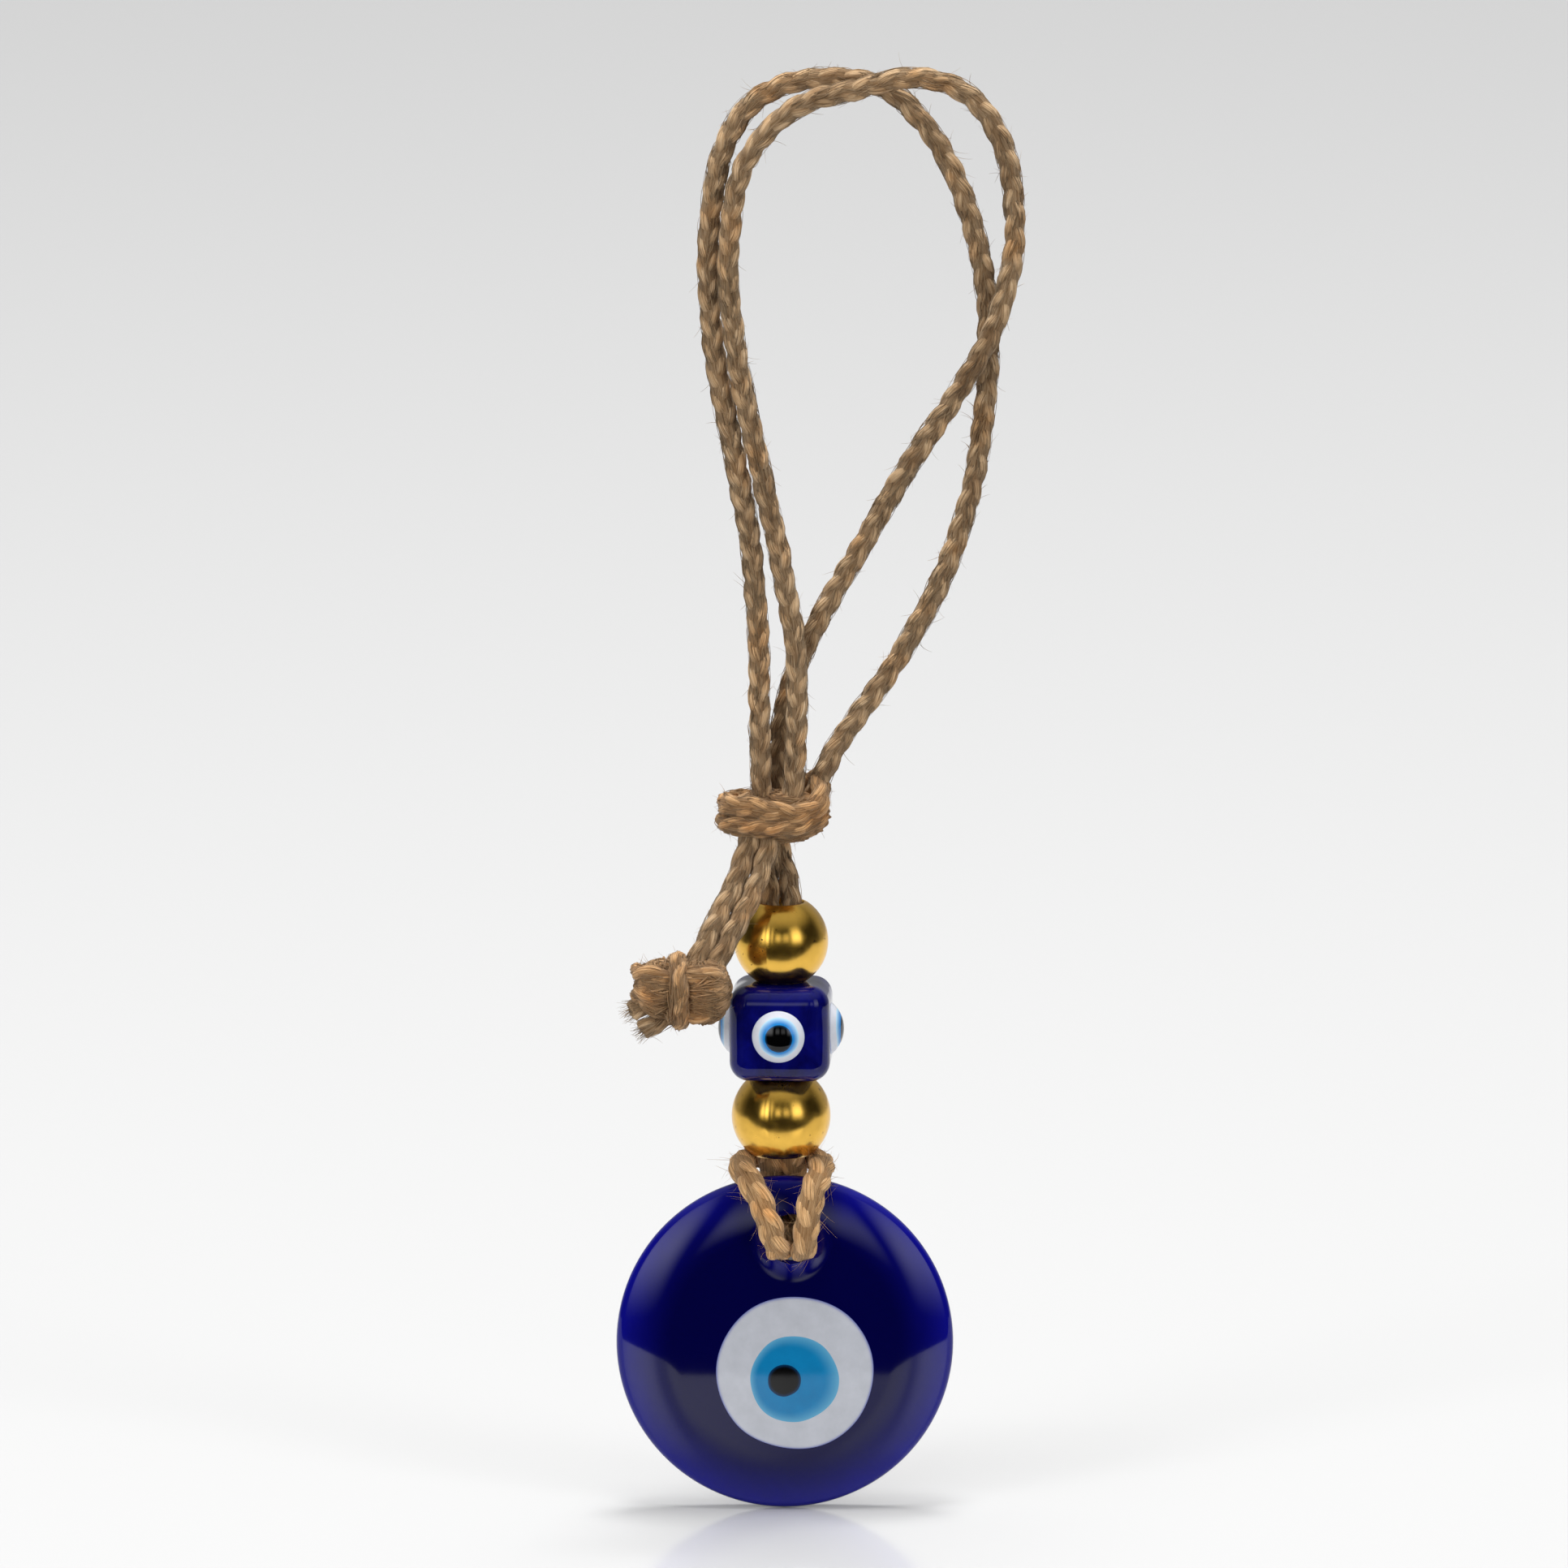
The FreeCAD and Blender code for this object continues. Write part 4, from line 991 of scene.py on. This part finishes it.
def dab(name, surface, place, inner, outer, rings=18, steps=96, depth=0.35 * MM, soft=0.12):
    """A dab of glass between two outlines on a surface.

    inner and outer give a place (across, up) for an angle, inner None closes the
    middle; surface gives the height at a place; place turns (across, up, height)
    into the frame.  The attribute edge runs from 0 inside to 1 at the outline.
    """
    mesh = bpy.data.meshes.new(name)
    work = bmesh.new()
    layer = work.verts.layers.float.new("edge")
    grid = []
    for ring in range(rings + 1):
        share = ring / rings
        row = []
        for step in range(steps):
            angle = step / steps * TURN
            far = outer(angle)
            near = inner(angle) if inner else (sum(outer(a)[0] for a in (0, math.pi)) / 2,
                                               sum(outer(a)[1] for a in (math.pi / 2, 1.5 * math.pi)) / 2)
            start = 0.03 if inner is None else 0.0
            part = start + (1 - start) * share
            across = near[0] + (far[0] - near[0]) * part
            up = near[1] + (far[1] - near[1]) * part
            vertex = work.verts.new(place(across, up, surface(across, up)))
            gap = 1 - part
            vertex[layer] = max(0.0, 1 - gap / soft) ** 1.5
            row.append(vertex)
        grid.append(row)
    below = []
    for row in (grid[-1], grid[0]):
        below.append([work.verts.new(place(0, 0, 0)) for _ in row])
    for step in range(steps):
        angle = step / steps * TURN
        far = outer(angle)
        below[0][step].co = place(far[0], far[1], surface(*far) - depth)
        if inner:
            near = inner(angle)
            below[1][step].co = place(near[0], near[1], surface(*near) - depth)
    for first, second in zip(grid, grid[1:]):
        for step in range(steps):
            after = (step + 1) % steps
            work.faces.new((first[step], first[after], second[after], second[step]))
    for step in range(steps):
        after = (step + 1) % steps
        work.faces.new((grid[-1][step], grid[-1][after], below[0][after], below[0][step]))
    if inner:
        for step in range(steps):
            after = (step + 1) % steps
            work.faces.new((grid[0][after], grid[0][step], below[1][step], below[1][after]))
            work.faces.new((below[0][step], below[0][after], below[1][after], below[1][step]))
    else:
        for vertex in below[1]:
            work.verts.remove(vertex)
        work.faces.new(grid[0])
        work.faces.new(below[0])
    bmesh.ops.recalc_face_normals(work, faces=work.faces)
    work.to_mesh(mesh)
    work.free()
    thing = new_object(name, mesh)
    settle(thing, angle=50)
    return thing


def wavy_circle(across, up, radius, wave, seed):
    """An outline that is a circle drawn by a slightly unsteady hand."""
    def outline(angle):
        """The place on the outline at an angle."""
        shift = noise.noise(Vector((math.cos(angle) * 1.3 + seed, math.sin(angle) * 1.3, seed * 0.7)))
        reach = radius * (1 + wave * shift)
        return across + reach * math.cos(angle), up + reach * math.sin(angle)
    return outline


class ORNAMENT_OT_cube_eyes(bpy.types.Operator):
    """Makes the four eyes of the cube bead"""
    bl_idname = "ornament.cube_eyes"
    bl_label = "Cube eyes"

    def execute(self, context):
        """White, light blue and black dabs on a dome that stands on each face."""
        glass = context.scene.ornament_glass
        base, tall = 3.55 * MM, 1.75 * MM
        ball = (base ** 2 + tall ** 2) / (2 * tall)

        def surface(across, up):
            """How far the dome stands off the face at a place on it."""
            out = min(across ** 2 + up ** 2, ball ** 2 * 0.999)
            return tall - ball + math.sqrt(ball ** 2 - out)

        for quarter, face in enumerate(("front", "right", "back", "left")):
            turn = Matrix.Rotation(math.radians(-3 + 90 * quarter), 3, "Z")

            def place(across, up, out, turn=turn):
                """A place on this face, at a distance off it."""
                return CUBE + turn @ Vector((across, -6.66 * MM - out, up))

            white_edge = wavy_circle(0, 0, base, 0.03, quarter)
            iris_edge = wavy_circle(0.05 * MM, 0.05 * MM, 2.7 * MM, 0.04, quarter + 7)
            pupil_edge = wavy_circle(0.08 * MM, -0.05 * MM, 1.86 * MM, 0.04, quarter + 15)
            for colour, inner, outer, tint, edge, soft in (
                    ("white", iris_edge, white_edge, tuple(c * 1.6 for c in glass.white),
                     (0.2, 0.3, 0.66), 0.13),
                    ("iris", pupil_edge, iris_edge, (0.012, 0.22, 0.62), (0.5, 0.75, 0.9), 0.85),
                    ("pupil", None, pupil_edge, glass.black, (0.01, 0.05, 0.12), 0.15)):
                name = f"cube_eye_{colour}_{face}"
                piece = dab(f"{name}_dab", surface, place, inner, outer, rings=12, steps=72, soft=soft)
                dress(piece, dab_material(f"{colour} dab of the cube", tuple(tint), edge))
                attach(piece, "cube")
                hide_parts(name)
        return {"FINISHED"}


def front_height(radius):
    """Height of the disc's front over the rim's plane at a radius, both in metres."""
    r = radius / MM
    dome = (14.5 ** 2 + 0.32 ** 2) / (2 * 0.32)
    if r <= 14.5:
        return (3.0 - dome + math.sqrt(dome ** 2 - r ** 2)) * MM
    slope = math.radians(2.5)
    reach = min((r - 14.5) / 19.07 + math.sin(slope), 0.999)
    return (2.68 - 19.07 * (math.cos(slope) - math.sqrt(1 - reach ** 2))) * MM


class ORNAMENT_OT_eye_disc(bpy.types.Operator):
    """Makes the glass disc and its eye"""
    bl_idname = "ornament.eye_disc"
    bl_label = "Eye disc"

    def execute(self, context):
        """A turned blank with a dimpled hole, then three dabs melted into its front."""
        hole = (0.9 * MM, DISC_RADIUS - 4.95 * MM - 3.1 * MM)
        self.glass(hole)
        self.eye(context.scene.ornament_glass)
        return {"FINISHED"}

    def glass(self, hole):
        """The blank, its dimple and its hole."""
        outline = [(0.2 * MM * i, None) for i in range(1, 109)]
        outline = [(r, front_height(r)) for r, _ in outline]
        outline += arc((21.16 * MM, -0.3 * MM), 1.34 * MM, 62, 0, 9)
        outline += arc((20.5 * MM, -0.6 * MM), 2.0 * MM, 0, -90, 12)
        outline += [(r * MM, -2.6 * MM) for r in (19, 16, 12, 8, 4, 0.2)]
        origin = Vector((0, 0, 0))
        disc = spun("eye_disc_glass", outline, origin, 180)
        only(disc)
        bpy.ops.object.mode_set(mode="EDIT")
        bpy.ops.mesh.select_all(action="DESELECT")
        bpy.ops.mesh.select_mode(type="EDGE")
        bpy.ops.mesh.select_non_manifold()
        bpy.ops.mesh.edge_face_add()
        bpy.ops.object.mode_set(mode="OBJECT")
        ball = (4.9 ** 2 + 0.9 ** 2) / (2 * 0.9) * MM
        for vertex in disc.data.vertices:
            if vertex.co.z < 0.5 * MM:
                continue
            away = math.hypot(vertex.co.x - hole[0], vertex.co.y - hole[1] + 0.2 * MM)
            if away > 8 * MM:
                continue
            sunk = 1.75 * MM + ball - math.sqrt(ball ** 2 - away ** 2)
            gap = (vertex.co.z - sunk) / (0.1 * MM)
            vertex.co.z -= 0.1 * MM * math.log1p(math.exp(min(gap, 50)))
        self.to_front(disc)
        tool = self.hole_tool(hole)
        cut_with(disc, tool)
        outward(disc)
        # This attribute marks where the painted glow goes: towards the rim and round the hole, where light
        # would shine through thin glass.
        layer = disc.data.attributes.new("thin", "FLOAT", "POINT")
        for index, vertex in enumerate(disc.data.vertices):
            out = (vertex.co - DISC_CENTRE)
            out.y = 0
            rim = max(0.0, (out.length / MM - 15.0) / 7.5) ** 1.6
            near = math.hypot(out.x - hole[0], out.z - hole[1]) / MM
            layer.data[index].value = min(1.0, rim + 0.9 * max(0.0, 1 - (near - 3.0) / 2.6))
        settle(disc, angle=35)
        dress(disc, navy_material())
        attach(disc, "disc")
        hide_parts("disc_glass")

    def to_front(self, thing):
        """Turns a piece modelled flat, its front up, to where the disc hangs."""
        turn = Matrix.Rotation(math.radians(90), 4, "X")
        place = Matrix.Translation(Vector((DISC_CENTRE.x, DISC_RIM_Y, DISC_CENTRE.z)))
        thing.data.transform(place @ turn)

    def hole_tool(self, hole):
        """A waisted plug: its ends flare so that the hole's edges come out rounded."""
        profile = [(0.01 * MM, -6 * MM), (4.4 * MM, -6 * MM), (4.4 * MM, -2.6 * MM)]
        profile += [(3.1 * MM + 0.5 * MM * (1 - math.sin(a)), -2.62 * MM + 0.5 * MM * (1 - math.cos(a)))
                    for a in np.linspace(0.35, math.pi / 2, 6)]
        profile += [(3.1 * MM + 0.4 * MM * (1 - math.cos(a)), 1.25 * MM + 0.55 * MM * math.sin(a))
                    for a in np.linspace(0, 1.25, 6)]
        profile += [(4.2 * MM, 6 * MM), (0.01 * MM, 6 * MM)]
        tool = spun("hole_tool", profile, Vector((hole[0], hole[1], 0)), 96)
        self.to_front(tool)
        only(tool)
        bpy.ops.object.mode_set(mode="EDIT")
        bpy.ops.mesh.select_all(action="DESELECT")
        bpy.ops.mesh.select_mode(type="EDGE")
        bpy.ops.mesh.select_non_manifold()
        bpy.ops.mesh.edge_face_add()
        bpy.ops.object.mode_set(mode="OBJECT")
        outward(tool)
        return tool

    def eye(self, glass):
        """White, light blue and black dabs, flush with the front."""
        def surface(across, up):
            """Height of the disc's front at a place on it."""
            return front_height(math.hypot(across, up)) + 0.02 * MM

        def place(across, up, out):
            """A place on the disc, at a height over the rim's plane."""
            return Vector((DISC_CENTRE.x + across, DISC_RIM_Y - out, DISC_CENTRE.z + up))

        white_edge = wavy_circle(1.35 * MM, -3.6 * MM, 10.4 * MM, 0.035, 2)
        iris_edge = wavy_circle(1.25 * MM, -4.6 * MM, 5.9 * MM, 0.04, 5)
        pupil_edge = wavy_circle(-0.1 * MM, -4.7 * MM, 2.2 * MM, 0.05, 9)
        for colour, inner, outer, tint, edge, soft in (
                ("white", iris_edge, white_edge, glass.white, (0.1, 0.12, 0.34), 0.09),
                ("iris", pupil_edge, iris_edge, glass.sky, (0.09, 0.3, 0.46), 0.4),
                ("pupil", None, pupil_edge, glass.black, (0.002, 0.03, 0.09), 0.22)):
            piece = dab(f"disc_eye_{colour}_dab", surface, place, inner, outer, rings=26, steps=128,
                        soft=soft)
            dress(piece, dab_material(f"{colour} dab of the disc", tuple(tint), edge))
            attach(piece, "disc")
            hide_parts(f"disc_eye_{colour}")


class ORNAMENT_OT_studio(bpy.types.Operator):
    """Makes the floor, the lights and the camera"""
    bl_idname = "ornament.studio"
    bl_label = "Studio"

    def execute(self, context):
        """A pale half glossy floor, three softboxes, a soft world and a long lens."""
        studio = context.scene.ornament_studio
        floor_z = DISC_LOW.z - 0.05 * MM
        floor_size, floor_front = 1.5, -0.09
        floor_colour = (0.9, 0.9, 0.9, 1)
        bpy.ops.object.select_all(action="DESELECT")
        bpy.ops.mesh.primitive_plane_add(size=floor_size,
                                         location=(0, floor_size / 2 + floor_front, floor_z))
        floor = bpy.context.object
        floor.name = "floor"
        floor.data.transform(floor.matrix_world)
        floor.matrix_world = Matrix.Identity(4)
        material, tree = named_material("pale floor")
        nodes = Nodes(tree)
        matt = nodes.add("ShaderNodeBsdfDiffuse")
        matt.inputs["Color"].default_value = floor_colour
        polish = nodes.add("ShaderNodeBsdfAnisotropic")
        polish.inputs["Color"].default_value = floor_colour
        polish.inputs["Roughness"].default_value = 0.12
        half_polished = nodes.add("ShaderNodeMixShader")
        half_polished.inputs[0].default_value = 0.5
        nodes.link(matt.outputs[0], half_polished.inputs[1])
        nodes.link(polish.outputs[0], half_polished.inputs[2])
        nodes.link(half_polished.outputs[0], tree.nodes["Material Output"].inputs["Surface"])
        floor.data.materials.append(material)
        self.lamp("left softbox", (-0.7, -0.8, 0.1), (0.3, 1.0), 4.5)
        self.lamp("right softbox", (0.75, -0.75, 0.1), (0.3, 1.0), 4.1)
        self.lamp("top softbox", (0.0, 0.05, 1.7), (0.5, 1.2), 46)
        self.backdrop()
        context.scene.view_settings.view_transform = "Standard"
        self.camera(studio)
        return {"FINISHED"}

    def backdrop(self):
        """Soft light behind, above and in four upright bands in front; plain white for the camera."""
        world = bpy.data.worlds.new("studio")
        bpy.context.scene.world = world
        world.use_nodes = True
        tree = world.node_tree
        background = tree.nodes["Background"]
        place = tree.nodes.new("ShaderNodeTexCoord")
        axes = tree.nodes.new("ShaderNodeSeparateXYZ")
        tree.links.new(place.outputs["Generated"], axes.inputs["Vector"])

        def node(kind, *sources, **values):
            """A new node with its settings, fed by sockets or numbers."""
            made = tree.nodes.new(kind)
            for name, value in values.items():
                setattr(made, name, value)
            for source, socket in zip(sources, made.inputs):
                if isinstance(source, bpy.types.NodeSocket):
                    tree.links.new(source, socket)
                else:
                    socket.default_value = source
            return made

        def spread(value, low, high, dim, bright):
            """A soft step from dim at low to bright at high."""
            return node("ShaderNodeMapRange", value, low, high, dim, bright,
                        interpolation_type="SMOOTHSTEP").outputs["Result"]

        parts = [spread(axes.outputs["Y"], 0.1, 0.7, 0.02, 0.35),
                 spread(axes.outputs["Y"], 0.985, 0.996, 0.0, 1.0),
                 spread(axes.outputs["Z"], 0.45, 0.95, 0.02, 0.5)]
        flat = node("ShaderNodeVectorMath", place.outputs["Generated"], (1, 1, 0), operation="MULTIPLY")
        flat = node("ShaderNodeVectorMath", flat.outputs[0], operation="NORMALIZE").outputs[0]
        for side, wide, narrow, bright in ((-0.6, 0.955, 0.996, 2.4), (0.64, 0.955, 0.996, 2.0),
                                           (-0.13, 0.988, 0.999, 1.2), (0.22, 0.986, 0.999, 1.0)):
            lamp_way = Vector((side, -math.sqrt(1 - side ** 2), 0))
            near = node("ShaderNodeVectorMath", flat, lamp_way, operation="DOT_PRODUCT").outputs["Value"]
            lobe = spread(near, wide, narrow, 0.0, bright)
            foot, top = (0.02, 0.55) if wide > 0.97 else (-0.1, 0.8)
            fade = spread(axes.outputs["Z"], foot, 0.25, 0.0, 1.0)
            drop = spread(axes.outputs["Z"], 0.25, top, 1.0, 0.0)
            lobe = node("ShaderNodeMath", lobe, fade, operation="MULTIPLY").outputs[0]
            parts.append(node("ShaderNodeMath", lobe, drop, operation="MULTIPLY").outputs[0])
        total = parts[0]
        for part in parts[1:]:
            total = node("ShaderNodeMath", total, part, operation="MAXIMUM").outputs[0]
        seen = tree.nodes.new("ShaderNodeLightPath")
        shown = node("ShaderNodeMath", total, seen.outputs["Is Camera Ray"], operation="MAXIMUM").outputs[0]
        tree.links.new(shown, background.inputs["Strength"])
        background.inputs["Color"].default_value = (1, 1, 1, 1)

    def lamp(self, name, place, sizes, power):
        """A rectangular softbox that faces the beads."""
        light = bpy.data.lights.new(name, "AREA")
        light.shape = "RECTANGLE"
        light.size, light.size_y = sizes
        light.energy = power
        lamp = new_object(name, light)
        lamp.visible_glossy = False
        aim = Vector((STACK.x, 0, -0.1))
        lamp.location = place
        lamp.rotation_euler = (aim - Vector(place)).to_track_quat("-Z", "Y").to_euler()

    def camera(self, studio):
        """A long lens that looks slightly down."""
        lens = bpy.data.cameras.new("camera")
        camera = new_object("camera", lens)
        down = studio.elevation
        ahead = Vector((0, math.cos(down), -math.sin(down)))
        aim = Vector((studio.aim_x, 0, studio.aim_z))
        camera.location = aim - ahead * studio.distance
        camera.rotation_euler = (math.pi / 2 - down, 0, 0)
        lens.sensor_width = 36
        lens.lens = 36 * studio.distance / studio.view_width
        lens.clip_end = 200
        bpy.context.scene.camera = camera


class ORNAMENT_PT_panel(bpy.types.Panel):
    """Lists the steps that build the ornament"""
    bl_idname = "ORNAMENT_PT_panel"
    bl_label = "Evil eye ornament"
    bl_space_type = "VIEW_3D"
    bl_region_type = "UI"
    bl_category = "Ornament"

    def draw(self, context):
        """Draws the settings and a button for each step."""
        layout = self.layout
        for group in ("ornament_cord", "ornament_glass", "ornament_gold", "ornament_studio"):
            settings = getattr(context.scene, group)
            for name in settings.__annotations__:
                layout.prop(settings, name)
        for operator in STEPS:
            layout.operator(operator.bl_idname)


SETTINGS = {"ornament_cord": CordSettings, "ornament_glass": GlassSettings,
            "ornament_gold": GoldSettings, "ornament_studio": StudioSettings}
STEPS = (ORNAMENT_OT_studio, ORNAMENT_OT_hanging_loop, ORNAMENT_OT_main_knot, ORNAMENT_OT_neck,
         ORNAMENT_OT_hitch, ORNAMENT_OT_tail, ORNAMENT_OT_gold_beads, ORNAMENT_OT_cube_bead,
         ORNAMENT_OT_cube_eyes, ORNAMENT_OT_eye_disc)


def register():
    """Registers the settings, the operators and the panel."""
    for name, group in SETTINGS.items():
        bpy.utils.register_class(group)
        setattr(bpy.types.Scene, name, PointerProperty(type=group))
    for operator in STEPS + (ORNAMENT_PT_panel,):
        bpy.utils.register_class(operator)


def unregister():
    """Takes the panel, the operators and the settings away again."""
    for operator in (ORNAMENT_PT_panel,) + STEPS[::-1]:
        bpy.utils.unregister_class(operator)
    for name, group in SETTINGS.items():
        delattr(bpy.types.Scene, name)
        bpy.utils.unregister_class(group)


def main():
    """Builds the ornament step by step."""
    register()
    for step in STEPS:
        family, name = step.bl_idname.split(".")
        getattr(getattr(bpy.ops, family), name)()


if __name__ == "__main__":
    main()
